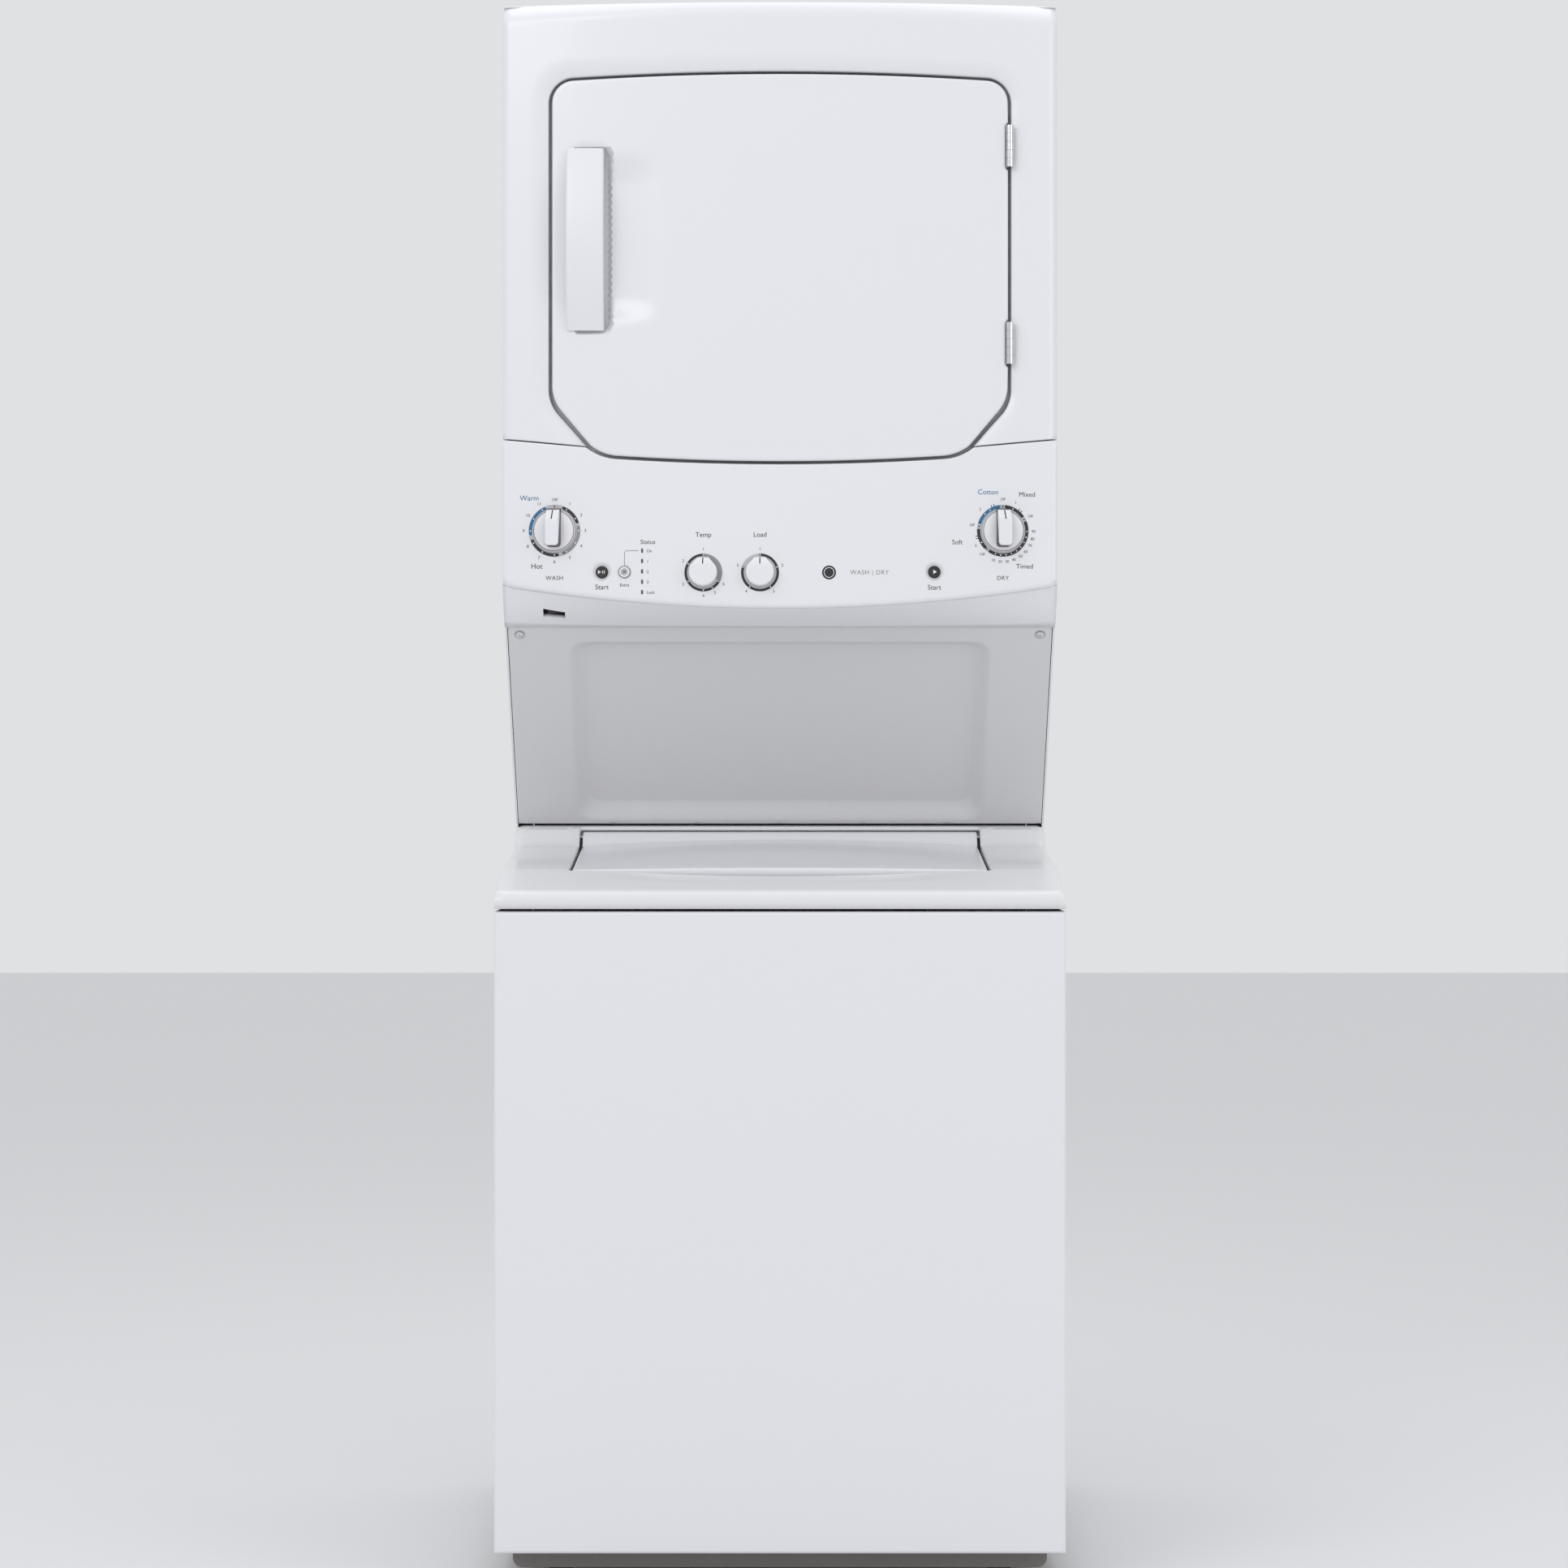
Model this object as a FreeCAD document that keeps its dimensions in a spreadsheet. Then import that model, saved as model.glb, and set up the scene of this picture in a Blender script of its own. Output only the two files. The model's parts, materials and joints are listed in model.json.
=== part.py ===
import math
import os

import FreeCAD
import Part
import Sketcher
from FreeCAD import Placement, Rotation, Vector

# A washer with a dryer stacked over it. Lengths are millimetres: X runs to the right, the front
# faces -Y, Z is up, and the origin is on the floor under the middle of the box.
# A "depth" is a distance behind the washer's front face.

doc = FreeCAD.newDocument("WasherDryerStack")
sheet = doc.addObject("Spreadsheet::Sheet", "Sizes")

driving_sizes = {
    # whole machine
    "width": 680, "depth": 784, "height": 1915, "steel": 1.5, "plastic": 3, "rearWall": 772,
    # base and washer casing
    "panBottom": 18, "kickTop": 44, "kickDepth": 57, "kickWidth": 642, "washerTop": 808,
    "panelReturn": 22, "footRadius": 20,
    # washer deck and lid
    "deckBottom": 811, "deckFrontHeight": 833, "creaseDepth": 123, "creaseHeight": 856,
    "deckRearDepth": 392, "deckRearHeight": 880, "deckEndDepth": 423, "deckEndHeight": 906,
    "lidWidth": 506, "lidFront": 119, "lidGap": 4, "lidThick": 20,
    "lidAxisDepth": 412, "lidAxisHeight": 891, "lidPinRadius": 3,
    # washer works
    "tubDepth": 320, "tubRadius": 285, "tubBottom": 230, "tubTop": 786,
    "basketRadius": 252, "basketBottom": 262, "basketTop": 762,
    "agitatorRadius": 150, "agitatorTop": 700, "shaftRadius": 12, "tubeRadius": 18,
    "pulleyBottom": 112, "pulleyThick": 20, "drivePulleyRadius": 90, "motorPulleyRadius": 25,
    "washerMotorX": 185, "washerMotorDepth": 480,
    # stand between the two machines
    "standTop": 1160, "splashTopDepth": 199, "splashTopHeight": 1153, "embossDepth": 12,
    # dryer casing
    "dryerSideDepth": 154, "dryerMidDepth": 130, "frontReturn": 46.5, "seamHeight": 1381,
    "seamDip": 10, "frontTop": 1912, "edgeRound": 11,
    # console
    "consoleMidDepth": 118, "consoleSideHeight": 1202, "consoleMidHeight": 1173,
    # door
    "doorWidth": 558, "doorTop": 1826, "doorBottom": 1353, "doorGap": 3.5, "doorBack": 158,
    "pocketFloor": 165, "hingeX": 281.25, "hingeDepth": 144, "knuckleRadius": 4.5,
    "hingePinRadius": 2,
    # dryer works
    "drumRadius": 275, "drumHeight": 1590, "drumFront": 200, "drumBack": 700, "mouthRadius": 215,
    "dryerMotorX": 190, "dryerMotorHeight": 1265, "beltPulleyRadius": 12, "beltDepth": 520,
    "blowerRadius": 62, "ductX": 55, "ductHeight": 1230, "ductRadius": 50.8,
    # controls
    "cycleKnobRadius": 26, "smallKnobRadius": 18, "stemRadius": 3, "buttonRadius": 7.4,
    "runningFit": 0.05,
}


class Dim:
    # A length with both its number and the sheet formula that it comes from.
    def __init__(self, text, number):
        self.text = text
        self.number = number

    def __add__(self, other):
        return Dim(f"({self} + {other})", self.number + float(other))

    def __sub__(self, other):
        return Dim(f"({self} - {other})", self.number - float(other))

    def __rsub__(self, other):
        return Dim(f"({other} - {self})", float(other) - self.number)

    def __mul__(self, other):
        return Dim(f"({self} * {other})", self.number * float(other))

    def __truediv__(self, other):
        return Dim(f"({self} / {other})", self.number / float(other))

    def __neg__(self):
        return Dim(f"(0 - {self})", -self.number)

    def __float__(self):
        return float(self.number)

    def __str__(self):
        return self.text

    __radd__ = __add__
    __rmul__ = __mul__


class Sizes:
    pass


s = Sizes()
for row, (alias, number) in enumerate(driving_sizes.items(), start=1):
    sheet.set(f"A{row}", alias)
    sheet.set(f"B{row}", str(number))
    sheet.setAlias(f"B{row}", alias)
    setattr(s, alias, Dim(f"Sizes.{alias}", number))
doc.recompute()

half = s.width / 2
nodes = []


def deep(distance):
    # Y of a place that far behind the washer's front face.
    return distance - s.depth / 2


def keep(piece, label):
    piece.Label = label
    nodes.append(piece)
    return piece


# Builders.

def place(piece, **base):
    for axis, length in base.items():
        piece.setExpression(f"Placement.Base.{axis}", str(length))
    return piece


def box(name, x0, x1, y0, y1, z0, z1):
    block = doc.addObject("Part::Box", name)
    for side, length in (("Length", x1 - x0), ("Width", y1 - y0), ("Height", z1 - z0)):
        block.setExpression(side, str(length))
    return place(block, x=x0, y=y0, z=z0)


turns = {
    "x": Rotation(Vector(0, 1, 0), 90),
    "y": Rotation(Vector(1, 0, 0), -90),
    "z": Rotation(),
}


def rod(name, along, radius, length, x=0, y=0, z=0):
    bar = doc.addObject("Part::Cylinder", name)
    bar.Placement = Placement(Vector(), turns[along])
    bar.setExpression("Radius", str(radius))
    bar.setExpression("Height", str(length))
    return place(bar, x=x, y=y, z=z)


def fuse(name, *pieces):
    joined = doc.addObject("Part::MultiFuse", name)
    joined.Shapes = list(pieces)
    return joined


def cut(name, base, *tools):
    left = doc.addObject("Part::Cut", name)
    left.Base = base
    left.Tool = tools[0] if len(tools) == 1 else fuse(name + "Tools", *tools)
    return left


def group(name, *pieces):
    # Separate solids that share a node.
    together = doc.addObject("Part::Compound", name)
    together.Links = list(pieces)
    return together


def pipe(name, along, outer, inner, length, x=0, y=0, z=0):
    return cut(name, rod(name + "Outer", along, outer, length, x, y, z),
               rod(name + "Bore", along, inner, length, x, y, z))


def sketch_on(body, role, points):
    sketch = body.newObject("Sketcher::SketchObject", body.Name + "Outline")
    plane = next(item for item in body.Origin.OriginFeatures if item.Role == role)
    sketch.AttachmentSupport = [(plane, "")]
    sketch.MapMode = "FlatFace"
    corners = [Vector(float(across), float(up), 0) for across, up in points]
    count = len(corners)
    for i in range(count):
        sketch.addGeometry(Part.LineSegment(corners[i], corners[(i + 1) % count]), False)
    for i in range(count):
        sketch.addConstraint(Sketcher.Constraint("Coincident", i, 2, (i + 1) % count, 1))
    for i, point in enumerate(points):
        for kind, length in zip(("DistanceX", "DistanceY"), point):
            index = sketch.addConstraint(Sketcher.Constraint(kind, -1, 1, i, 1, float(length)))
            sketch.setExpression(f"Constraints[{index}]", str(length))
    return sketch


def prism(name, along, points, start, end):
    # A padded outline: (Y, Z) points along X, or (X, Y) points along Z.
    body = doc.addObject("PartDesign::Body", name)
    sketch = sketch_on(body, {"x": "YZ_Plane", "z": "XY_Plane"}[along], points)
    pad = body.newObject("PartDesign::Pad", name + "Pad")
    pad.Profile = sketch
    pad.setExpression("Length", str(end - start))
    return place(body, **{along: start})


def turned(name, along, points, x=0, y=0, z=0):
    # A revolved outline of (radius, place along the axis) points.
    body = doc.addObject("PartDesign::Body", name)
    sketch = sketch_on(body, {"y": "XY_Plane", "z": "XZ_Plane"}[along], points)
    spin = body.newObject("PartDesign::Revolution", name + "Turn")
    spin.Profile = sketch
    spin.ReferenceAxis = (sketch, ["V_Axis"])
    spin.Angle = 360
    return place(body, x=x, y=y, z=z)


def rounded(name, piece, radius, wanted):
    # Rounds the edges whose middle passes the test.
    doc.recompute()
    soft = doc.addObject("Part::Fillet", name)
    soft.Base = piece
    picked = [i for i, edge in enumerate(piece.Shape.Edges, start=1) if wanted(edge)]
    soft.Edges = [(i, float(radius), float(radius)) for i in picked]
    return soft


def shaped(name, shape):
    piece = doc.addObject("Part::Feature", name)
    piece.Shape = shape
    return piece


def middle(edge):
    return edge.CenterOfMass


def runs(edge, axis):
    size = edge.BoundBox
    lengths = {"x": size.XLength, "y": size.YLength, "z": size.ZLength}
    return all(lengths[other] < 0.01 for other in lengths if other != axis)


# Base.

kick_half = s.kickWidth / 2
pan_block = box("PanBlock", -kick_half, kick_half, deep(s.kickDepth), deep(s.rearWall),
                s.panBottom, s.kickTop)
pan_round = rounded("PanRound", pan_block, 12,
                    lambda edge: runs(edge, "y") and middle(edge).z < 20)
pan_room = box("PanRoom", s.steel - kick_half, kick_half - s.steel,
               deep(s.kickDepth + s.steel), deep(s.rearWall - s.steel),
               s.panBottom + 3, s.kickTop + 1)
foot_places = [(side * 265, depth) for side in (-1, 1) for depth in (100, 715)]
stem_holes = [rod(f"StemHole{i}", "z", 6.5, 40, x, deep(depth), 10)
              for i, (x, depth) in enumerate(foot_places)]
keep(cut("BasePan", pan_round, pan_room, *stem_holes), "base_pan")


def leveling_foot(i, x, depth):
    pad = doc.addObject("Part::Cone", f"FootPad{i}")
    pad.setExpression("Radius1", str(s.footRadius))
    pad.setExpression("Radius2", str(s.footRadius - 6))
    pad.Height = 10
    place(pad, x=x, y=deep(depth), z=0)
    stem = rod(f"FootStem{i}", "z", 6, 40, x, deep(depth), 5)
    nut = doc.addObject("Part::Prism", f"JamNut{i}")
    nut.Polygon = 6
    nut.Circumradius = 11
    nut.setExpression("Height", str(s.panBottom - 11.5))
    place(nut, x=x, y=deep(depth), z=11)
    bored_nut = cut(f"NutBored{i}", nut, rod(f"NutBore{i}", "z", 6, 20, x, deep(depth), 5))
    return [fuse(f"Foot{i}", pad, stem), bored_nut]


feet = [leveling_foot(i, x, depth) for i, (x, depth) in enumerate(foot_places)]
keep(group("Feet", *[piece for pair in feet for piece in pair]), "leveling_feet")


# Washer casing.

def casing(name, front_depth, low, high, flange, holes):
    # Two sides, turned in at the front where there is a flange, and a back fixed between them.
    inner = half - s.steel
    y0, y1 = deep(front_depth), deep(s.rearWall)
    sides = []
    for i, turn in enumerate((-1, 1)):
        outline = [(half * turn, y0), (half * turn, y1), (inner * turn, y1)]
        if flange:
            outline += [(inner * turn, y0 + s.steel), ((inner - flange) * turn, y0 + s.steel),
                        ((inner - flange) * turn, y0)]
        else:
            outline.append((inner * turn, y0))
        sides.append(prism(f"{name}Side{i}", "z", outline, low, high))
    back = box(f"{name}BackSheet", 0.2 - inner, inner - 0.2, y1 - s.steel, y1, low, high)
    return group(name, *sides, cut(f"{name}Back", back, *holes))


inlet_xs = (-55, 20)
inlet_height = 770
spigot_x = -215
spigot_height = 762
rear_holes = [rod(f"InletHole{i}", "y", 14, 40, x, deep(s.rearWall - 20), inlet_height)
              for i, x in enumerate(inlet_xs)]
rear_holes.append(rod("SpigotHole", "y", 15, 40, spigot_x, deep(s.rearWall - 20), spigot_height))
keep(casing("WasherCasing", s.panelReturn + 0.5, s.kickTop + 0.5, s.washerTop, 16, rear_holes),
     "washer_cabinet")

front_block = box("FrontBlock", -half, half, deep(0), deep(s.panelReturn), s.kickTop + 0.5,
                  s.washerTop)
front_round = rounded("FrontRound", front_block, 4,
                      lambda edge: middle(edge).y < float(deep(1)) and not runs(edge, "y"))
front_room = box("FrontRoom", s.steel - half, half - s.steel, deep(s.steel),
                 deep(s.panelReturn + 1), s.kickTop + 0.5 + s.steel, s.washerTop - s.steel)
front_room_round = rounded("FrontRoomRound", front_room, 2.5,
                           lambda edge: middle(edge).y < float(deep(3)) and not runs(edge, "y"))
keep(cut("WasherFront", front_round, front_room_round), "washer_front_panel")

# Deck and lid.

deck_top = [
    (0, s.deckFrontHeight - 11), (3, s.deckFrontHeight - 3.5), (9, s.deckFrontHeight),
    (s.creaseDepth, s.creaseHeight), (s.deckRearDepth, s.deckRearHeight),
    (s.deckRearDepth + 7, s.deckRearHeight + 12), (s.deckRearDepth + 12, s.deckRearHeight + 22),
    (s.deckEndDepth, s.deckEndHeight),
]


def profile(points):
    return [(deep(depth), height) for depth, height in points]


deck_outer = prism("DeckOuter", "x", profile([(0, s.deckBottom)] + deck_top
                                             + [(s.deckEndDepth, s.deckBottom)]), -half, half)
deck_hollow = [
    (s.plastic, s.deckBottom - 1), (s.plastic, s.deckFrontHeight - 11),
    (9, s.deckFrontHeight - s.plastic), (s.creaseDepth, s.creaseHeight - s.plastic),
    (s.deckRearDepth, s.deckRearHeight - s.plastic),
    (s.deckRearDepth + 7, s.deckRearHeight + 12 - s.plastic),
    (s.deckRearDepth + 12, s.deckRearHeight + 22 - s.plastic),
    (s.deckEndDepth - 2.5, s.deckEndHeight - s.plastic), (s.deckEndDepth - 2.5, s.deckBottom - 1),
]
deck_inner = prism("DeckInner", "x", profile(deck_hollow), s.plastic - half, half - s.plastic)

well_half = s.lidWidth / 2 + s.lidGap
well_front = s.lidFront - s.lidGap
well_back = s.deckEndDepth - 2.5
well_drop = 27
slope_front = s.creaseHeight - 1.5
well_solid = prism("WellSolid", "x", profile([
    (well_front - s.plastic, slope_front - well_drop - s.plastic),
    (s.deckRearDepth, s.deckRearHeight - well_drop - s.plastic),
    (s.deckEndDepth, s.deckRearHeight - well_drop - s.plastic),
    (s.deckEndDepth, s.deckEndHeight),
    (s.deckRearDepth + 12, s.deckRearHeight + 22), (s.deckRearDepth + 7, s.deckRearHeight + 12),
    (s.deckRearDepth, s.deckRearHeight), (s.creaseDepth, s.creaseHeight),
    (well_front - s.plastic, slope_front - 1)]), -well_half - s.plastic, well_half + s.plastic)
well_room = prism("WellRoom", "x", profile([
    (well_front, slope_front - well_drop), (s.deckRearDepth, s.deckRearHeight - well_drop),
    (well_back, s.deckRearHeight - well_drop), (well_back, s.deckEndHeight + 20),
    (well_front, s.deckEndHeight + 20)]), -well_half, well_half)
mouth_half = 215
mouth_cut = prism("TubMouth", "z", [
    (-mouth_half, deep(200)), (50 - mouth_half, deep(150)), (mouth_half - 50, deep(150)),
    (mouth_half, deep(200)), (mouth_half, deep(345)), (mouth_half - 50, deep(395)),
    (50 - mouth_half, deep(395)), (-mouth_half, deep(345))], s.deckBottom - 20,
    s.deckRearHeight)
pin_bore = rod("LidPinBore", "x", s.lidPinRadius + s.runningFit, s.lidWidth + 30,
               -s.lidWidth / 2 - 15, deep(s.lidAxisDepth), s.lidAxisHeight)
strike_slot = box("StrikeSlot", 150, 168, deep(118), deep(148), s.deckBottom, s.creaseHeight)
keep(cut("Deck", fuse("DeckShell", cut("DeckSkin", deck_outer, deck_inner), well_solid),
         well_room, mouth_cut, pin_bore, strike_slot), "washer_top_deck")

lid_half = s.lidWidth / 2
lid_plate = prism("LidPlate", "x", profile([
    (s.lidFront + 1, s.creaseHeight - 5), (s.lidFront + 3, s.creaseHeight - 1),
    (s.deckRearDepth, s.deckRearHeight), (s.lidAxisDepth - 7, s.lidAxisHeight + 3),
    (s.lidAxisDepth - 3, s.lidAxisHeight - 6), (s.deckRearDepth, s.deckRearHeight - s.lidThick),
    (s.lidFront + 6, s.creaseHeight - s.lidThick), (s.lidFront, s.creaseHeight - 14)]),
    -lid_half, lid_half)
lid_barrel = rod("LidBarrel", "x", 7, s.lidWidth, -lid_half, deep(s.lidAxisDepth),
                 s.lidAxisHeight)
lid_room = prism("LidRoom", "x", profile([
    (s.lidFront + 6, s.creaseHeight - 5), (s.deckRearDepth - 6, s.deckRearHeight - 4),
    (s.deckRearDepth - 6, s.deckRearHeight - s.lidThick - 4),
    (s.lidFront + 10, s.creaseHeight - s.lidThick - 4)]), s.plastic - lid_half,
    lid_half - s.plastic)
pin_socket = rod("LidPinSocket", "x", s.lidPinRadius, s.lidWidth + 10, -lid_half - 5,
                 deep(s.lidAxisDepth), s.lidAxisHeight)
keep(cut("Lid", fuse("LidBody", lid_plate, lid_barrel), lid_room, pin_socket), "washer_lid")

liner_plate = prism("LinerPlate", "x", profile([
    (s.lidFront + 10.5, s.creaseHeight - s.lidThick + 3.5),
    (s.deckRearDepth - 6.5, s.deckRearHeight - s.lidThick + 2),
    (s.deckRearDepth - 6.5, s.deckRearHeight - s.lidThick - 1),
    (s.lidFront + 10.5, s.creaseHeight - s.lidThick + 0.5)]), s.plastic + 0.5 - lid_half,
    lid_half - s.plastic - 0.5)
strike = box("LidStrike", 155, 163, deep(s.lidFront + 15), deep(s.lidFront + 18),
             s.creaseHeight - 44, s.creaseHeight - s.lidThick + 3)
keep(fuse("LidLiner", liner_plate, strike), "lid_liner")
keep(group("LidPins", *[rod(f"LidPin{i}", "x", s.lidPinRadius, 16, start,
                            deep(s.lidAxisDepth), s.lidAxisHeight)
                        for i, start in enumerate((-well_half - 2.5, well_half - 13.5))]),
     "lid_hinge_pins")
lock_case = box("LockCase", 140, 178, deep(112), deep(152), s.deckBottom - 10, s.deckBottom + 10)
lock_slot = box("LockSlot", 150, 168, deep(118), deep(146), s.deckBottom - 6, s.deckBottom + 12)
keep(cut("LidLock", lock_case, lock_slot), "lid_lock")

# Washer works.

tub_y = deep(s.tubDepth)
tub_skin = s.plastic
tub_shell = turned("TubShell", "z", [
    (34, s.tubBottom), (s.tubRadius - 25, s.tubBottom), (s.tubRadius, s.tubBottom + 25),
    (s.tubRadius, s.tubTop), (s.tubRadius - tub_skin, s.tubTop),
    (s.tubRadius - tub_skin, s.tubBottom + 27), (s.tubRadius - 27, s.tubBottom + tub_skin),
    (34, s.tubBottom + tub_skin)], y=tub_y)
tub_ring = turned("TubRing", "z", [
    (228, s.tubTop + 0.5), (s.tubRadius + 2, s.tubTop + 0.5), (s.tubRadius + 2, s.tubTop + 4),
    (228, s.tubTop + 9)], y=tub_y)
keep(group("Tub", tub_shell, tub_ring), "outer_tub")
keep(turned("Basket", "z", [
    (s.shaftRadius + s.runningFit, s.tubBottom - 90), (s.tubeRadius, s.tubBottom - 90),
    (s.tubeRadius, s.basketBottom), (s.basketRadius - 20, s.basketBottom),
    (s.basketRadius, s.basketBottom + 20), (s.basketRadius, s.basketTop),
    (s.basketRadius - 22, s.basketTop), (s.basketRadius - 22, s.basketTop - 24),
    (s.basketRadius - 2, s.basketTop - 28), (s.basketRadius - 2, s.basketBottom + 21),
    (s.basketRadius - 21, s.basketBottom + 2), (s.shaftRadius + s.runningFit, s.basketBottom + 2)],
    y=tub_y), "wash_basket")
agitator_core = turned("AgitatorCore", "z", [
    (0, s.pulleyBottom - 4), (s.shaftRadius, s.pulleyBottom - 4),
    (s.shaftRadius, s.basketBottom + 6), (s.agitatorRadius, s.basketBottom + 6),
    (s.agitatorRadius, s.basketBottom + 14), (90, s.basketBottom + 45),
    (58, s.basketBottom + 100), (46, s.agitatorTop - 40), (50, s.agitatorTop - 12),
    (38, s.agitatorTop), (0, s.agitatorTop + 4)], y=tub_y)
vanes = []
for i in range(4):
    vane = doc.addObject("Part::Wedge", f"AgitatorVane{i}")
    vane.Xmin, vane.Xmax, vane.X2min, vane.X2max = 30, 140, 30, 60
    vane.Ymin, vane.Ymax = 0, 260
    vane.Zmin, vane.Zmax, vane.Z2min, vane.Z2max = -4, 4, -3, 3
    vane.Placement = Placement(Vector(0, float(tub_y), float(s.basketBottom) + 10),
                               Rotation(Vector(0, 0, 1), 90 * i) * Rotation(Vector(1, 0, 0), 90))
    vanes.append(vane)
keep(fuse("Agitator", agitator_core, *vanes), "agitator")

case_low = s.tubBottom - 88
gear_case = turned("GearCase", "z", [
    (s.tubeRadius + s.runningFit, case_low), (70, case_low), (70, case_low + 50),
    (33, case_low + 58), (33, s.tubBottom + 12), (s.tubeRadius + s.runningFit, s.tubBottom + 12)],
    y=tub_y)
keep(gear_case, "gearcase")

rod_places = [(side * 285, depth) for side in (-1, 1) for depth in (70, 590)]
rods = []
for i, (x, depth) in enumerate(rod_places):
    rods.append(rod(f"HangRod{i}", "z", 4, s.washerTop - s.tubBottom - 60, x, deep(depth),
                    s.tubBottom + 30))
    rods.append(pipe(f"DampCup{i}", "z", 16, 4.5, 60, x, deep(depth), s.tubBottom + 40))
keep(group("Rods", *rods), "suspension_rods")


def pulley(name, radius, bore, x, y, low):
    deep_groove = 5
    return turned(name, "z", [
        (bore, low), (radius, low), (radius, low + 3), (radius - deep_groove, low + 8),
        (radius - deep_groove, low + 12), (radius, low + 17), (radius, low + s.pulleyThick),
        (bore, low + s.pulleyThick)], x=x, y=y)


motor_y = deep(s.washerMotorDepth)
keep(pulley("DrivePulley", s.drivePulleyRadius, s.shaftRadius, 0, tub_y, s.pulleyBottom),
     "drive_pulley")
motor_shaft = rod("WasherMotorShaft", "z", 6, 70, s.washerMotorX, motor_y, s.pulleyBottom - 2)
keep(fuse("WasherMotorPulley", pulley("MotorSheave", s.motorPulleyRadius, 5, s.washerMotorX,
                                      motor_y, s.pulleyBottom), motor_shaft),
     "washer_motor_pulley")
motor_can = rod("WasherMotorCan", "z", 62, 82, s.washerMotorX, motor_y, s.pulleyBottom + 26)
keep(cut("WasherMotor", motor_can, rod("WasherMotorBore", "z", 6 + s.runningFit, 60,
                                       s.washerMotorX, motor_y, s.pulleyBottom + 20)),
     "washer_motor")


def belt_loop(radius_a, radius_b, span):
    # The flat outline of a belt round two pulleys, the first at the origin, the second at +X.
    lean = math.acos((radius_a - radius_b) / span)
    up, down = lean, -lean
    far = [Vector(span + radius_b * math.cos(turn), radius_b * math.sin(turn), 0)
           for turn in (up, 0, down)]
    near = [Vector(radius_a * math.cos(turn), radius_a * math.sin(turn), 0)
            for turn in (down, math.pi, up)]
    edges = [Part.Arc(*far).toShape(), Part.makeLine(far[2], near[0]),
             Part.Arc(*near).toShape(), Part.makeLine(near[2], far[0])]
    return Part.Face(Part.Wire(edges))


def belt(name, radius_a, radius_b, span, wide, thick, where):
    outer = belt_loop(radius_a + thick, radius_b + thick, span)
    inner = belt_loop(radius_a, radius_b, span)
    loop = outer.cut(inner).extrude(Vector(0, 0, wide))
    piece = shaped(name, loop.Solids[0])
    piece.Placement = where
    return piece


belt_clear = 0.4
drive_line = Vector(float(s.washerMotorX), float(motor_y - tub_y), 0)
keep(belt("WasherBelt", float(s.drivePulleyRadius) + belt_clear,
          float(s.motorPulleyRadius) + belt_clear, drive_line.Length, 9, 4,
          Placement(Vector(0, float(tub_y), float(s.pulleyBottom) + 5.5),
                    Rotation(Vector(1, 0, 0), drive_line))), "washer_belt")

pump_case = rod("PumpCase", "z", 48, 60, -205, deep(560), 60)
pump_motor = rod("PumpMotor", "z", 30, 50, -205, deep(560), 118)
pump_nozzle = rod("PumpNozzle", "x", 14, 70, -205, deep(600), 90)
keep(fuse("DrainPump", pump_case, pump_motor, pump_nozzle), "drain_pump")

valve_block = box("ValveBlock", -85, 50, deep(s.rearWall - 62), deep(s.rearWall - 2),
                  inlet_height - 22, inlet_height + 22)
valve_necks = [rod(f"ValveNeck{i}", "y", 13.3, s.depth - s.rearWall + 4, x,
                   deep(s.rearWall - 4), inlet_height) for i, x in enumerate(inlet_xs)]
valve_bores = [rod(f"ValveBore{i}", "y", 9, 40, x, deep(s.depth - 30), inlet_height)
               for i, x in enumerate(inlet_xs)]
keep(cut("InletValve", fuse("ValveBody", valve_block, *valve_necks), *valve_bores),
     "water_inlet_valve")
spigot_length = s.depth - s.rearWall + 60
keep(pipe("Spigot", "y", 14.3, 11, spigot_length, spigot_x, deep(s.depth) - spigot_length,
          spigot_height), "drain_spigot")

# Stand.

splash_foot = s.deckEndDepth + 1
side_outline = profile([
    (splash_foot, s.deckBottom), (splash_foot, s.deckEndHeight + 2),
    (s.splashTopDepth + 1.5, s.splashTopHeight), (s.splashTopDepth + 1.5, s.standTop),
    (s.rearWall, s.standTop), (s.rearWall, s.deckBottom)])
side_thick = 2.5
keep(group("StandSides", prism("StandLeft", "x", side_outline, -half, side_thick - half),
           prism("StandRight", "x", side_outline, half - side_thick, half)), "stand_side_panels")
keep(box("StandRear", side_thick + 0.5 - half, half - side_thick - 0.5, deep(s.rearWall - s.steel),
         deep(s.rearWall), s.deckBottom, s.standTop), "stand_rear_panel")


def flat_frame(x0, x1, v0, v1, radius, level):
    # A rounded rectangle at one level of the sloping panel's own frame.
    plate = Part.makeBox(x1 - x0, v1 - v0, 1, Vector(x0, v0, level))
    if radius:
        plate = plate.makeFillet(radius, [e for e in plate.Edges if runs(e, "z")])
    low = min(plate.Faces, key=lambda face: face.CenterOfMass.z)
    return low.OuterWire


splash_run = float(s.deckEndDepth - s.splashTopDepth)
splash_rise = float(s.splashTopHeight - s.deckEndHeight)
splash_long = math.hypot(splash_run, splash_rise)
splash_turn = math.degrees(math.atan2(splash_rise, -splash_run))
splash_half = float(half - side_thick) - 0.5
skin = float(s.steel)
drop = float(s.embossDepth)


def splash_shape():
    sheet_plate = Part.makeBox(2 * splash_half, splash_long, skin, Vector(-splash_half, 0, -skin))
    def dish(extra, start, end):
        return Part.makeLoft([
            flat_frame(-262 - extra, 262 + extra, 8 - extra, 309 + extra, 22, start),
            flat_frame(-243 - extra, 243 + extra, 31 - extra, 294 + extra, 14, end)], True, True)
    back = dish(skin, -skin, -drop - skin)
    room = dish(0, 0, -drop)
    return sheet_plate.fuse(back).cut(room)


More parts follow.
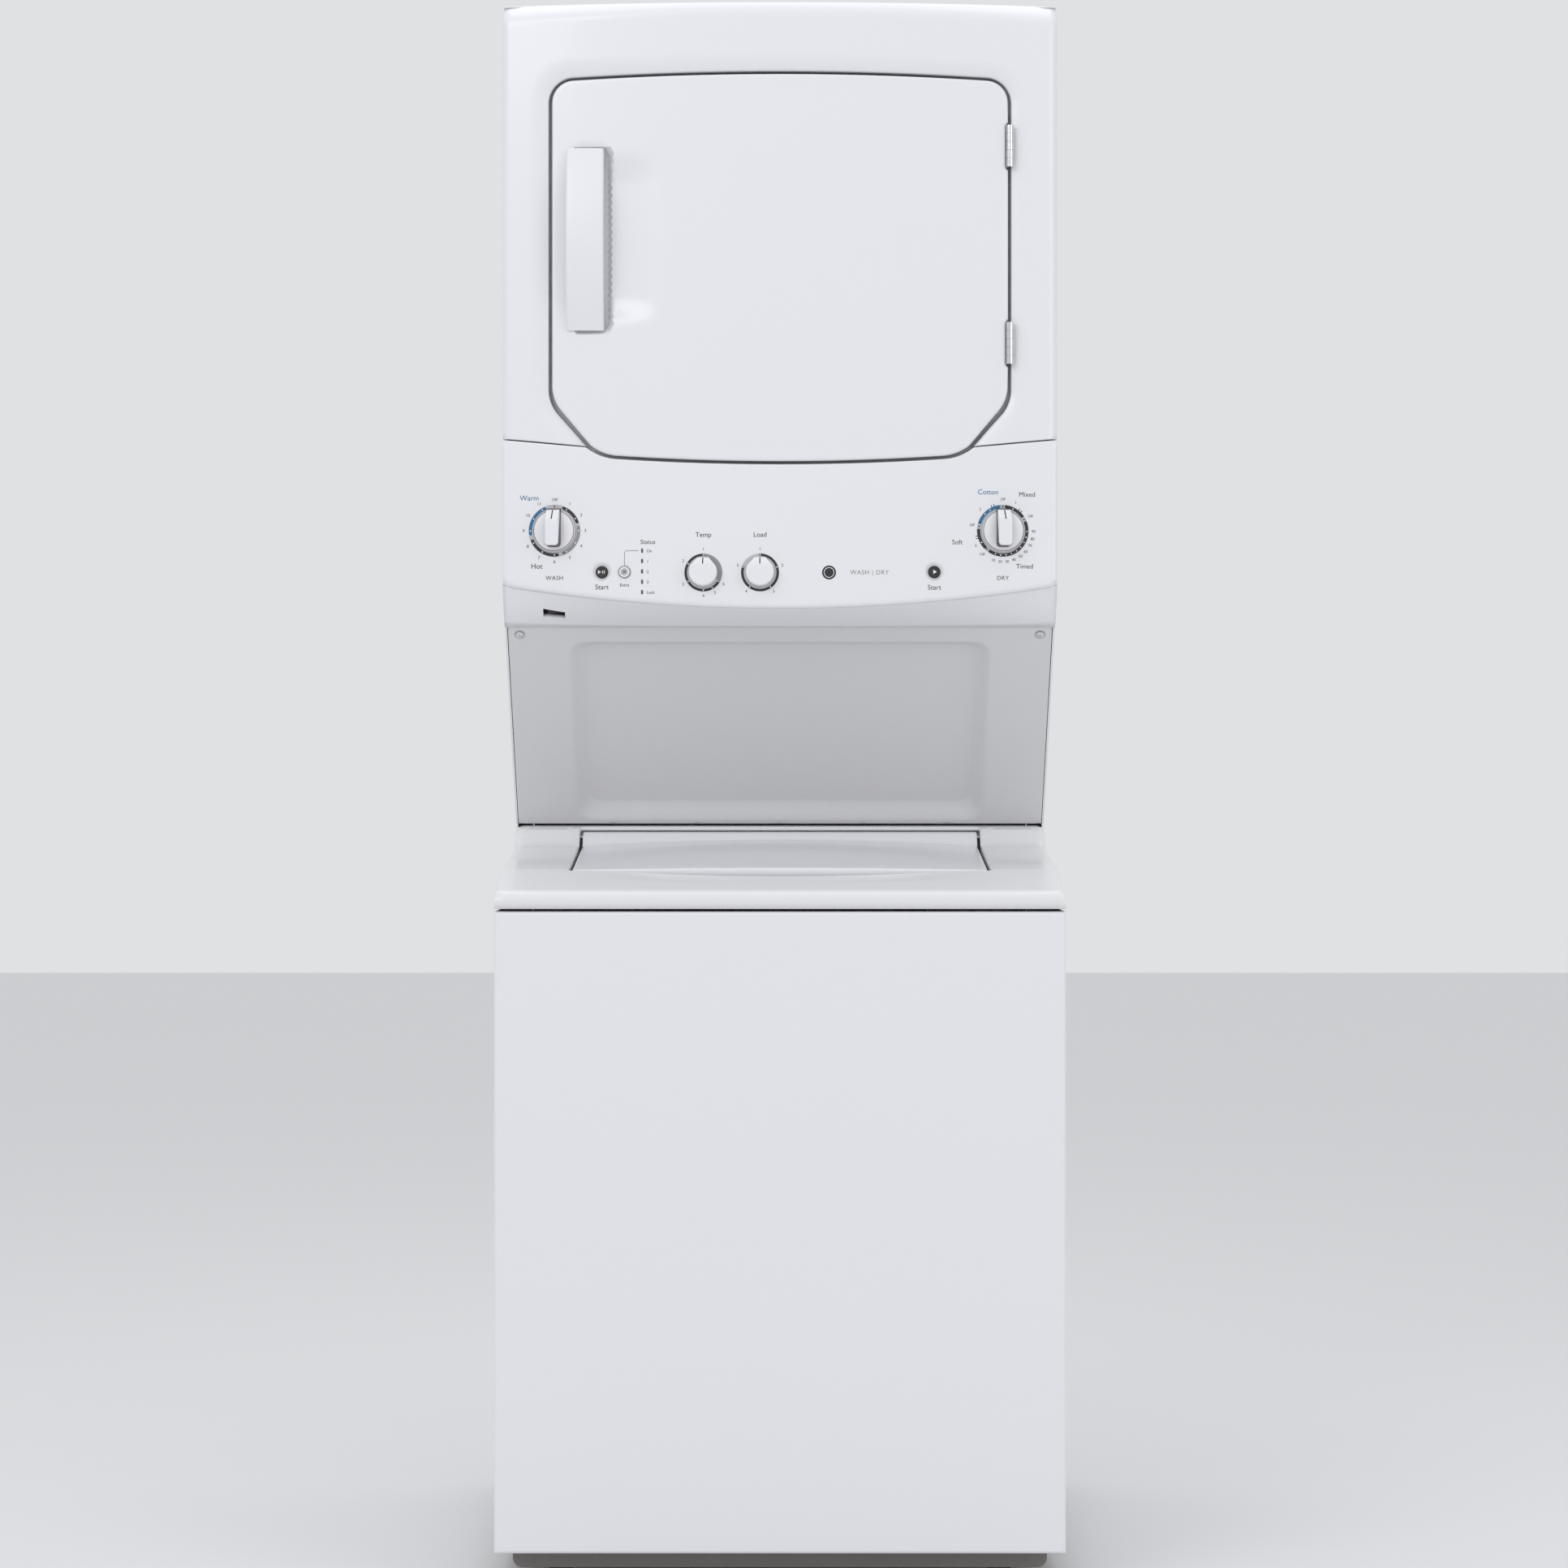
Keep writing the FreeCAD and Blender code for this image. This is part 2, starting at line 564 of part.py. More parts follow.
splash = shaped("Splash", splash_shape())
splash.Placement = Placement(Vector(0, float(deep(s.deckEndDepth + 0.5)),
                                    float(s.deckEndHeight) + 1.5),
                             Rotation(Vector(1, 0, 0), splash_turn))
keep(splash, "backsplash_panel")


def splash_screw(i, x):
    head = Part.makeCylinder(4.8, 2.4, Vector(x, splash_long - 14, 0.05))
    head = head.makeFillet(1.4, [max(head.Edges, key=lambda e: e.CenterOfMass.z)])
    shank = Part.makeCylinder(2, 12, Vector(x, splash_long - 14, -12))
    screw = shaped(f"SplashScrew{i}", head.fuse(shank))
    screw.Placement = splash.Placement
    return screw


screw_x = 322
screws = [splash_screw(i, side * screw_x) for i, side in enumerate((-1, 1))]
splash_holes = Part.makeCompound([Part.makeCylinder(2.1, 20, Vector(side * screw_x,
                                                                    splash_long - 14, -10))
                                  for side in (-1, 1)])
splash.Shape = splash_shape().cut(splash_holes)
splash.Placement = screws[0].Placement
keep(group("SplashScrews", *screws), "backsplash_screws")

# Dryer casing.

bulge = float(s.dryerSideDepth - s.dryerMidDepth)
side_x = float(half)
edge = float(s.edgeRound)
front_y = float(deep(s.dryerMidDepth))
console_back = float(deep(s.splashTopDepth))
steel = float(s.steel)
gap = float(s.doorGap)


def bulged_block(inset, low, high, back):
    # The dryer's bowed front as a block: its front face is an arc in plan.
    x, y = side_x - inset, front_y + inset
    arc = Part.Arc(Vector(-x, y + bulge, low), Vector(0, y, low), Vector(x, y + bulge, low))
    plan = Part.Wire([arc.toShape(), Part.makeLine(Vector(x, y + bulge, low), Vector(x, back, low)),
                      Part.makeLine(Vector(x, back, low), Vector(-x, back, low)),
                      Part.makeLine(Vector(-x, back, low), Vector(-x, y + bulge, low))])
    block = Part.Face(plan).extrude(Vector(0, 0, high - low))
    ahead = y + bulge + 1
    picked = [e for e in block.Edges
              if (runs(e, "z") and middle(e).y < ahead)
              or (middle(e).z > high - 0.1 and middle(e).y < ahead)]
    return block.makeFillet(edge - inset, picked)


def slab_y(points, y0, y1):
    wire = Part.makePolygon([Vector(x, y0, z) for x, z in points + points[:1]])
    return Part.Face(wire).extrude(Vector(0, y1 - y0, 0))


def arc_xz(y, *points):
    return Part.Arc(*[Vector(x, y, z) for x, z in points]).toShape()


def line_xz(y, first, last):
    return Part.makeLine(Vector(first[0], y, first[1]), Vector(last[0], y, last[1]))


def door_face(grow, y):
    # The door's outline: arched top, clipped lower corners and a slightly arched foot.
    side = float(s.doorWidth) / 2 + grow
    top = float(s.doorTop) + grow
    foot = float(s.doorBottom) - grow
    corner = 27 + grow
    bend = corner * (1 - math.cos(math.pi / 4))
    shoulder = top - 6
    toe = [(201 + 0.3 * grow, foot + 7.3), (219 + 0.5 * grow, foot + 12),
           (231.8 + 0.7 * grow, foot + 19.8)]
    heel = [(side - 10.5, foot + 63.5), (side - 3.2, foot + 76), (side, foot + 95)]
    head = [(side, shoulder - corner), (side - bend, shoulder - bend), (side - corner, shoulder)]

    def flip(point):
        return (-point[0], point[1])

    edges = [arc_xz(y, flip(toe[0]), (0, foot), toe[0]), arc_xz(y, *toe),
             line_xz(y, toe[2], heel[0]), arc_xz(y, *heel), line_xz(y, heel[2], head[0]),
             arc_xz(y, *head), arc_xz(y, head[2], (0, top), flip(head[2])),
             arc_xz(y, *[flip(p) for p in reversed(head)]),
             line_xz(y, flip(head[0]), flip(heel[2])),
             arc_xz(y, *[flip(p) for p in reversed(heel)]),
             line_xz(y, flip(heel[0]), flip(toe[2])),
             arc_xz(y, *[flip(p) for p in reversed(toe)])]
    return Part.Face(Part.Wire(edges))


def door_slab(grow, y0, y1):
    return door_face(grow, y0).extrude(Vector(0, y1 - y0, 0))


seam = float(s.seamHeight)
dip = float(s.seamDip)
seam_x = 237
seam_gap = 1.5
front_top = float(s.frontTop)
front_back = float(deep(s.dryerSideDepth + s.frontReturn))
floor_y = float(deep(s.pocketFloor))
knuckle = float(s.knuckleRadius)
hinge_y = float(deep(s.hingeDepth))
hinge_x = float(s.hingeX)
hinge_span = 51
hinge_lows = (1473, 1714)


def hinge_notch(reach):
    notches = [Part.makeCylinder(knuckle + reach, hinge_span + 3, Vector(hinge_x, hinge_y, low - 1.5))
               for low in hinge_lows]
    return notches[0].fuse(notches[1])


def mouth_slab(grow, y0, y1):
    block = Part.makeBox(390 + 2 * grow, y1 - y0, 390 + 2 * grow, Vector(-195 - grow, y0, 1395 - grow))
    return block.makeFillet(70 + grow, [e for e in block.Edges if runs(e, "y")])


def dryer_front_shape():
    low = seam - dip + seam_gap
    outer = bulged_block(0, low, front_top, front_back)
    inner = bulged_block(steel, low - 5, front_top - steel, front_back + 5)
    shell = outer.cut(inner)
    corners = [slab_y([(sign * 400, seam - 20), (sign * 400, seam + seam_gap),
                       (sign * side_x, seam + seam_gap), (sign * seam_x, low), (sign * seam_x, seam - 20)],
                      front_y - 20, front_back + 20) for sign in (-1, 1)]
    wall = door_slab(gap + steel, front_y - 20, floor_y + steel)
    tongue = Part.makeBox(600, 6.5 + steel, 80, Vector(-300, floor_y - 6.5, low - 40))
    wall = wall.common(outer.fuse(tongue))
    panel = shell.fuse(wall)
    panel = panel.cut(door_slab(gap, front_y - 20, floor_y)).cut(mouth_slab(0, floor_y - 5, floor_y + 10))
    return panel.cut(corners[0]).cut(corners[1]).cut(hinge_notch(0.8))


keep(shaped("DryerFront", dryer_front_shape()), "dryer_front_panel")

keep(box("DryerFloor", s.steel + 0.5 - half, half - s.steel - 0.5, deep(s.splashTopDepth + 2),
         deep(s.rearWall - s.steel) - 0.5, s.standTop + 0.3, s.standTop + 3), "dryer_base")
duct_hole = rod("DuctHole", "y", s.ductRadius + 0.5, 60, s.ductX, deep(s.rearWall - 30), s.ductHeight)
cable_x = -250
cable_height = 1250
cable_hole = rod("CableHole", "y", 15, 60, cable_x, deep(s.rearWall - 30), cable_height)
keep(casing("DryerCasing", s.splashTopDepth + 2, s.standTop + 0.3, s.frontTop - 15, 0,
            [duct_hole, cable_hole]), "dryer_cabinet")

top_x = half - 0.5


def top_panel_shape():
    x, y = float(top_x), float(deep(s.dryerSideDepth)) + 10
    back = float(deep(s.rearWall))
    low, brim, crown = float(s.frontTop) - 14.5, float(s.frontTop) + 1, float(s.height)

    def cover(inset, base):
        arc = Part.Arc(Vector(inset - x, y, brim - inset), Vector(0, y, crown - inset),
                       Vector(x - inset, y, brim - inset)).toShape()
        legs = [Part.makeLine(Vector(x - inset, y, brim - inset), Vector(x - inset, y, base)),
                Part.makeLine(Vector(x - inset, y, base), Vector(inset - x, y, base)),
                Part.makeLine(Vector(inset - x, y, base), Vector(inset - x, y, brim - inset))]
        return Part.Face(Part.Wire([arc] + legs)).extrude(Vector(0, back - y, 0))
    room = cover(steel, low - 5)
    room = room.common(Part.makeBox(900, back - y - 2 * steel, 60, Vector(-450, y + steel, low - 10)))
    return cover(0, low).cut(room)


top_shape = top_panel_shape().cut(bulged_block(-0.3, seam, front_top + 0.3, front_back))
keep(shaped("DryerTop", top_shape), "dryer_top_panel")
keep(box("TopClip", -3.5, 3.5, deep(s.dryerSideDepth) + 8, deep(s.dryerSideDepth) + 9.8,
         s.frontTop + 0.3, s.frontTop + 2.8), "top_clip")

bulkhead_depth = 187
front_bulk = box("BulkFront", s.steel - half + 8, half - s.steel - 8, deep(bulkhead_depth),
                 deep(bulkhead_depth + 3), s.standTop + 20, s.frontTop - 20)
collar = rod("BulkCollar", "y", s.mouthRadius, 24, 0, deep(bulkhead_depth), s.drumHeight)
throat = rod("BulkThroat", "y", s.mouthRadius - 2, 60, 0, deep(bulkhead_depth - 20), s.drumHeight)
keep(cut("FrontBulkhead", fuse("BulkJoined", front_bulk, collar), throat), "front_bulkhead")
rear_bulk = box("BulkRear", s.steel + 0.5 - half, half - s.steel - 0.5, deep(s.drumBack + 12),
                deep(s.drumBack + 15), s.standTop + 4, s.frontTop - 20)
rear_bearing = rod("DrumBearing", "y", 22, 24, 0, deep(s.drumBack + 6), s.drumHeight)
rear_bore = rod("DrumBore", "y", 10 + s.runningFit, 80, 0, deep(s.drumBack - 20), s.drumHeight)
duct_pass = rod("DuctPass", "y", s.ductRadius + 1, 60, s.ductX, deep(s.drumBack - 20), s.ductHeight)
keep(cut("RearBulkhead", fuse("RearBulkJoined", rear_bulk, rear_bearing), rear_bore, duct_pass),
     "rear_bulkhead")

# Console.

console_top = seam + 3


def face_line(x):
    # Depth and height of the console face's top and bottom edges at one X.
    far = (x / side_x) ** 2
    top = (float(s.dryerMidDepth) + bulge * far, console_top)
    spread = float(s.dryerSideDepth - s.consoleMidDepth)
    rise = float(s.consoleSideHeight - s.consoleMidHeight)
    bottom = (float(s.consoleMidDepth) + spread * far, float(s.consoleMidHeight) + rise * far)
    return top, bottom


def face_depth(x, z):
    (top_depth, top_z), (low_depth, low_z) = face_line(x)
    return low_depth + (top_depth - low_depth) * (z - low_z) / (top_z - low_z)


def face_frame(x, z):
    # A placement on the console face: local Z points straight out of it, local Y up along it.
    step = 0.5
    lean_x = (face_depth(x + step, z) - face_depth(x - step, z)) / (2 * step)
    lean_z = (face_depth(x, z + step) - face_depth(x, z - step)) / (2 * step)
    out = Vector(lean_x, -1, lean_z).normalize()
    up = Vector(0, lean_z, 1).normalize()
    return Placement(Vector(x, float(deep(face_depth(x, z))), z),
                     Rotation(up.cross(out), up, out, "ZYX"))


def console_loft(inset):
    wires = []
    reach = side_x - inset
    for share in (-1, -0.5, 0, 0.5, 1):
        x = share * reach
        top, bottom = face_line(x)
        thick = 2.5 if inset else 0
        back = float(s.splashTopDepth) + (4 if inset else 0)
        under = float(s.splashTopHeight) + (3.5 if inset else 0)
        corners = [(top[0] + thick, top[1] - inset), (bottom[0] + thick, bottom[1] + thick * 0.9),
                   (back, under), (back, top[1] - inset)]
        places = [Vector(x, float(deep(depth)), z) for depth, z in corners]
        wires.append(Part.makePolygon(places + places[:1]))
    return Part.makeLoft(wires, True, False)


knob_spots = {"washer_cycle_knob": (-275.6, 1269), "dryer_cycle_knob": (272.4, 1269),
              "temperature_knob": (-93.2, 1217), "load_size_knob": (-24.2, 1217)}
button_spots = {"washer_start_button": (-217.3, 1218), "rinse_button": (-189.5, 1218),
                "dryer_start_button": (188.3, 1218)}
light_x = -168
light_heights = [1244 - 12.65 * i for i in range(5)]


def round_hole(spot, radius, depth=12):
    hole = Part.makeCylinder(radius, 2 * depth, Vector(0, 0, -depth))
    hole.Placement = face_frame(*spot)
    return hole


def box_hole(spot, wide, tall, depth=12):
    hole = Part.makeBox(wide, tall, 2 * depth, Vector(-wide / 2, -tall / 2, -depth))
    hole.Placement = face_frame(*spot)
    return hole


def console_shape():
    shell = console_loft(0).cut(console_loft(2.5))
    shell = shell.cut(door_slab(gap, front_y - 40, floor_y - 8))
    shell = shell.cut(door_slab(gap + 5, floor_y - 8, console_back + 5))
    for sign in (-1, 1):
        shell = shell.cut(slab_y([(sign * 400, seam), (sign * side_x, seam),
                                  (sign * seam_x, seam - dip), (sign * (seam_x - 8), seam - dip),
                                  (sign * (seam_x - 8), seam + 30), (sign * 400, seam + 30)],
                                 front_y - 40, console_back + 5))
    for spot in knob_spots.values():
        shell = shell.cut(round_hole(spot, 5))
    for spot in button_spots.values():
        shell = shell.cut(round_hole(spot, float(s.buttonRadius) + 0.4))
    for z in light_heights:
        shell = shell.cut(box_hole((light_x, z), 2.4, 5.2))
    slot = Part.makeBox(27, 12, 30, Vector(-291, float(deep(168)), 1150))
    return shell.cut(slot)


keep(shaped("Console", console_shape().Solids[0]), "control_console")


def knob(label, spot, radius, skirt, grip_wide, grip_tall):
    base = doc.addObject("Part::Cone", label + "Skirt")
    base.setExpression("Radius1", str(radius))
    base.setExpression("Radius2", str(radius - 1.5))
    base.Height = skirt
    base.Placement.Base.z = 0.6
    bar = doc.addObject("Part::Box", label + "Grip")
    bar.setExpression("Width", str(2 * radius))
    bar.Length, bar.Height = grip_wide, grip_tall
    bar.setExpression("Placement.Base.y", str(-radius))
    bar.Placement.Base.x = -grip_wide / 2
    bar.Placement.Base.z = skirt
    limit = doc.addObject("Part::Cone", label + "Limit")
    limit.setExpression("Radius1", str(radius - 1))
    limit.setExpression("Radius2", str(radius - 4))
    limit.Height = grip_tall + 3
    limit.Placement.Base.z = skirt - 2
    grip = doc.addObject("Part::Common", label + "Bar")
    grip.Base, grip.Tool = bar, limit
    soft = rounded(label + "Soft", grip, 1.5, lambda e: middle(e).z > skirt + grip_tall - 2)
    stem = rod(label + "Stem", "z", s.stemRadius, 26, 0, 0, -24)
    piece = fuse(label, base, soft, stem)
    piece.Placement = face_frame(*spot)
    return piece


def switch(i, spot, size):
    block = Part.makeBox(size, size, 20, Vector(-size / 2, -size / 2, -25))
    block = block.cut(Part.makeCylinder(float(s.stemRadius + s.runningFit), 40, Vector(0, 0, -35)))
    piece = shaped(f"Switch{i}", block)
    piece.Placement = face_frame(*spot)
    return piece


for label, spot in knob_spots.items():
    cycle = "cycle" in label
    radius = s.cycleKnobRadius if cycle else s.smallKnobRadius
    keep(knob(label + "_body", spot, radius, 5 if cycle else 4, 19 if cycle else 14,
              15 if cycle else 11), label)
keep(group("Switches", *[switch(i, spot, 40 if i < 2 else 30)
                         for i, spot in enumerate(knob_spots.values())]), "rotary_switches")


def button(label, spot):
    cap = rod(label + "Cap", "z", s.buttonRadius, 8, 0, 0, -5.5)
    soft = rounded(label + "Soft", cap, 1, lambda e: middle(e).z > 2)
    stem = rod(label + "Stem", "z", 3, 10, 0, 0, -14)
    piece = fuse(label, soft, stem)
    piece.Placement = face_frame(*spot)
    return piece


for label, spot in button_spots.items():
    keep(button(label + "_body", spot), label)


def light_window(i, z):
    window = shaped(f"Light{i}", Part.makeBox(2.2, 5, 3, Vector(-1.1, -2.5, -2.9)))
    window.Placement = face_frame(light_x, z)
    return window


keep(group("Lights", *[light_window(i, z) for i, z in enumerate(light_heights)]), "status_lights")

# Door.

door_back = float(deep(s.doorBack))
handle_x = (-261, -215)
handle_z = (1515, 1735)
cup = (-266, -199, 1509, 1741)


def cup_block(grow, y0, y1):
    block = Part.makeBox(cup[1] - cup[0] + 2 * grow, y1 - y0, cup[3] - cup[2] + 2 * grow,
                         Vector(cup[0] - grow, y0, cup[2] - grow))
    return block.makeFillet(10 + grow, [e for e in block.Edges if runs(e, "y")])


def handle_shape():
    x0, x1 = handle_x
    low, high = handle_z
    mid = (low + high) / 2
    y = float(deep(face_depth(-238, seam)))
    bow = 20

    def arc(inset, y0, y1):
        return Part.Arc(Vector(x0, y0, low + inset), Vector(x0, y1, mid),
                        Vector(x0, y0, high - inset)).toShape()
    outer, inner = arc(0, y - 3, y - bow), arc(9, y + 9, y - bow + 10)
    ends = [Part.makeLine(Vector(x0, y - 3, low), Vector(x0, y + 9, low)),
            Part.makeLine(Vector(x0, y + 9, low), Vector(x0, y + 9, low + 9)),
            Part.makeLine(Vector(x0, y + 9, high - 9), Vector(x0, y + 9, high)),
            Part.makeLine(Vector(x0, y + 9, high), Vector(x0, y - 3, high))]
    wire = Part.Wire(Part.__sortEdges__([outer, inner] + ends))
    bar = Part.Face(wire).extrude(Vector(x1 - x0, 0, 0))
    return bar.makeFillet(2.5, [e for e in bar.Edges if middle(e).y < y - 8])


def door_outer_shape():
    front = bulged_block(0, seam - 60, front_top, front_back)
    inner = bulged_block(2, seam - 70, front_top - 2, front_back + 5)
    shell = door_slab(0, front_y - 10, door_back).common(front)
    shell = shell.cut(door_slab(-2, front_y - 10, door_back + 5).common(inner))
    cup_out = cup_block(2, front_y, door_back - 1).common(front)
    shell = shell.fuse(cup_out).cut(cup_block(0, front_y - 10, door_back - 3))
    return shell.cut(handle_shape()).cut(hinge_notch(0.8))


handle = handle_shape()
keep(shaped("DoorOuter", door_outer_shape()), "door_outer_panel")
keep(shaped("DoorHandle", handle), "door_handle")
strike_z = 1625


def door_inner_shape():
    plate = door_slab(-1, door_back, door_back + 2)
    pad = mouth_slab(-8, door_back, door_back + 9.5)
    room = mouth_slab(-10, door_back - 5, door_back + 7.5)
    hook = Part.makeBox(3, 22, 16, Vector(-240, door_back, strike_z - 8))
    return plate.fuse(pad).fuse(hook).cut(room)


def catch_slot(grow, y0, y1):
    return Part.makeBox(12 + 2 * grow, y1 - y0, 24 + 2 * grow,
                        Vector(-244.5 - grow, y0, strike_z - 12 - grow))


keep(shaped("DoorInner", door_inner_shape()), "door_inner_panel")
seal = mouth_slab(10, door_back + 2.3, floor_y - 0.6).cut(mouth_slab(2, door_back - 5, floor_y + 5))
keep(shaped("DoorSeal", seal), "door_seal")
front_panel = doc.getObject("DryerFront")
front_panel.Shape = front_panel.Shape.cut(catch_slot(0, floor_y - 5, floor_y + 10))

knuckle_tall = (hinge_span - 4 * 0.4) / 5
pin_radius = float(s.hingePinRadius)


def hinge_leaf(low, turns_on, plate_x, bore):
    # One leaf with its knuckles: the frame's leaf has the outer and middle ones.
    pieces = []
    for i in turns_on:
        z = low + i * (knuckle_tall + 0.4)
        barrel = Part.makeCylinder(knuckle, knuckle_tall, Vector(hinge_x, hinge_y, z))
        web_x = min(plate_x, hinge_x)
        web = Part.makeBox(abs(hinge_x - plate_x) + 1.2 if plate_x > hinge_x else hinge_x - plate_x,
                           knuckle + 3, knuckle_tall, Vector(web_x, hinge_y, z))
        pieces.append(barrel.fuse(web))
    plate = Part.makeBox(1.2, 14, hinge_span, Vector(plate_x, hinge_y + knuckle + 1, low))
    leaf = plate.multiFuse(pieces).removeSplitter()
    return leaf.cut(Part.makeCylinder(bore, 80, Vector(hinge_x, hinge_y, low - 10)))


door_edge = float(s.doorWidth) / 2
pocket_edge = door_edge + gap
frame_leaves = [shaped(f"FrameLeaf{i}", hinge_leaf(low, (0, 2, 4), pocket_edge - 1.2, pin_radius))
                for i, low in enumerate(hinge_lows)]
door_leaves = [shaped(f"DoorLeaf{i}", hinge_leaf(low, (1, 3), door_edge, pin_radius
                                                 + float(s.runningFit)))
               for i, low in enumerate(hinge_lows)]
pins = [rod(f"HingePin{i}", "z", s.hingePinRadius, hinge_span, s.hingeX, deep(s.hingeDepth), low)
        for i, low in enumerate(hinge_lows)]
keep(group("FrameHinges", *frame_leaves, *pins), "frame_hinge_leaves_and_pins")
keep(group("DoorLeaves", *door_leaves), "door_hinge_leaves")

# Dryer works.

drum_y = deep(0)
drum_wall = 1.5
keep(turned("Drum", "y", [
    (0, s.drumBack), (s.drumRadius - 12, s.drumBack), (s.drumRadius, s.drumBack - 12),
    (s.drumRadius, s.drumFront + 30), (s.drumRadius - 30, s.drumFront + 6),
    (s.mouthRadius + 3, s.drumFront + 6), (s.mouthRadius + 3, s.drumFront + 4.5),
    (s.drumRadius - 30, s.drumFront + 4.5), (s.drumRadius + drum_wall, s.drumFront + 29),
    (s.drumRadius + drum_wall, s.drumBack - 11), (s.drumRadius - 11, s.drumBack + drum_wall),
    (10, s.drumBack + drum_wall), (10, s.drumBack + 40), (0, s.drumBack + 40)],
    y=drum_y, z=s.drumHeight), "dryer_drum")


def baffle(i):
    rib = doc.addObject("Part::Wedge", f"Baffle{i}")
    rib.Xmin, rib.Xmax, rib.X2min, rib.X2max = -22, 22, -7, 7
    rib.Ymin, rib.Ymax = 0, 52
    length = float(s.drumBack - s.drumFront) - 90
    rib.Zmin, rib.Zmax, rib.Z2min, rib.Z2max = 0, length, 15, length - 15
    turn = Rotation(Vector(0, 1, 0), 120 * i) * Rotation(Vector(1, 0, 0), -90)
    inward = Rotation(Vector(0, 1, 0), 120 * i).multVec(Vector(0, 0, -1))
    # local Y points inward from the wall, local Z runs along the drum
    basis = Rotation(inward.cross(Vector(0, 1, 0)), inward, Vector(0, 1, 0), "ZYX")
    foot = inward * (1.5 - float(s.drumRadius))
    rib.Placement = Placement(Vector(foot.x, float(deep(s.drumFront + 45)),
                                     foot.z + float(s.drumHeight)), basis)
    return rib


keep(group("Baffles", *[baffle(i) for i in range(3)]), "drum_baffles")


def ring_piece(inner, outer, y0, length, start, sweep):
    # Part of a ring about the drum's axis, its angles measured from straight down.
    disc = Part.makeCylinder(outer, length, Vector(0, y0, float(s.drumHeight)), Vector(0, 1, 0))
    disc = disc.cut(Part.makeCylinder(inner, length, Vector(0, y0, float(s.drumHeight)),
                                      Vector(0, 1, 0)))
    reach = 2 * outer
    centre = Vector(0, y0, float(s.drumHeight))
    rays = [Vector(reach * math.sin(math.radians(turn)), 0, -reach * math.cos(math.radians(turn)))
            for turn in (start, start + sweep)]
    wedge = Part.makePolygon([centre, centre + rays[0], centre + rays[1], centre])
    return disc.common(Part.Face(wedge).extrude(Vector(0, length, 0)))


glide_radius = float(s.drumRadius) + drum_wall + 0.5
glides = [shaped(f"Glide{i}", ring_piece(glide_radius, glide_radius + 8,
                                         float(deep(s.drumFront + 34)), 20, start, 16))
          for i, start in enumerate((22, -38))]
keep(group("Glides", *glides), "drum_glides")

belt_y = float(deep(s.beltDepth))
motor_x, motor_z = float(s.dryerMotorX), float(s.dryerMotorHeight)
to_motor = Vector(motor_x, 0, motor_z - float(s.drumHeight))
across = to_motor.normalize()
to_motor_long = math.hypot(motor_x, motor_z - float(s.drumHeight))
keep(belt("DrumBelt", float(s.drumRadius) + drum_wall + belt_clear,
          float(s.beltPulleyRadius) + belt_clear, to_motor_long, 9, 2,
          Placement(Vector(0, belt_y, float(s.drumHeight)),
                    Rotation(across, Vector(0, 1, 0).cross(across), Vector(0, 1, 0), "ZXY"))),
     "drum_belt")

motor_y0 = s.drumFront + 120
motor_long = 150
dryer_can = rod("DryerMotorCan", "y", 45, motor_long, s.dryerMotorX, deep(motor_y0),
                s.dryerMotorHeight)
dryer_foot = box("DryerMotorFoot", s.dryerMotorX - 40, s.dryerMotorX + 40, deep(motor_y0 + 10),
                 deep(motor_y0 + motor_long - 10), s.standTop + 3, s.dryerMotorHeight)
keep(cut("DryerMotor", fuse("DryerMotorBody", dryer_can, dryer_foot),
         rod("DryerMotorBore", "y", 6 + s.runningFit, 300, s.dryerMotorX, deep(motor_y0 - 50),
             s.dryerMotorHeight)), "dryer_motor")
shaft_start = s.drumFront + 12
dryer_shaft = rod("DryerShaft", "y", 6, s.beltDepth + 20 - shaft_start, s.dryerMotorX,
                  deep(shaft_start), s.dryerMotorHeight)
belt_sheave = rod("BeltSheave", "y", s.beltPulleyRadius, 15, s.dryerMotorX, deep(s.beltDepth - 3),
                  s.dryerMotorHeight)
keep(fuse("DryerMotorShaft", dryer_shaft, belt_sheave), "dryer_motor_shaft")


def blower_wheel_shape():
    y0 = float(deep(s.drumFront + 14))
    axis = Vector(0, 1, 0)
    middle_point = Vector(motor_x, y0, motor_z)
    wheel = Part.makeCylinder(float(s.blowerRadius), 2, middle_point + Vector(0, 36, 0), axis)
    wheel = wheel.fuse(Part.makeCylinder(12, 38, middle_point, axis))
    for i in range(12):
        blade = Part.makeBox(float(s.blowerRadius) - 32, 37, 1.5, Vector(30, 0, -0.75))
        blade.rotate(Vector(), axis, 30 * i)
        blade.translate(middle_point)
        wheel = wheel.fuse(blade)
    return wheel.cut(Part.makeCylinder(6, 60, middle_point - Vector(0, 5, 0), axis))


keep(shaped("BlowerWheel", blower_wheel_shape()), "blower_wheel")


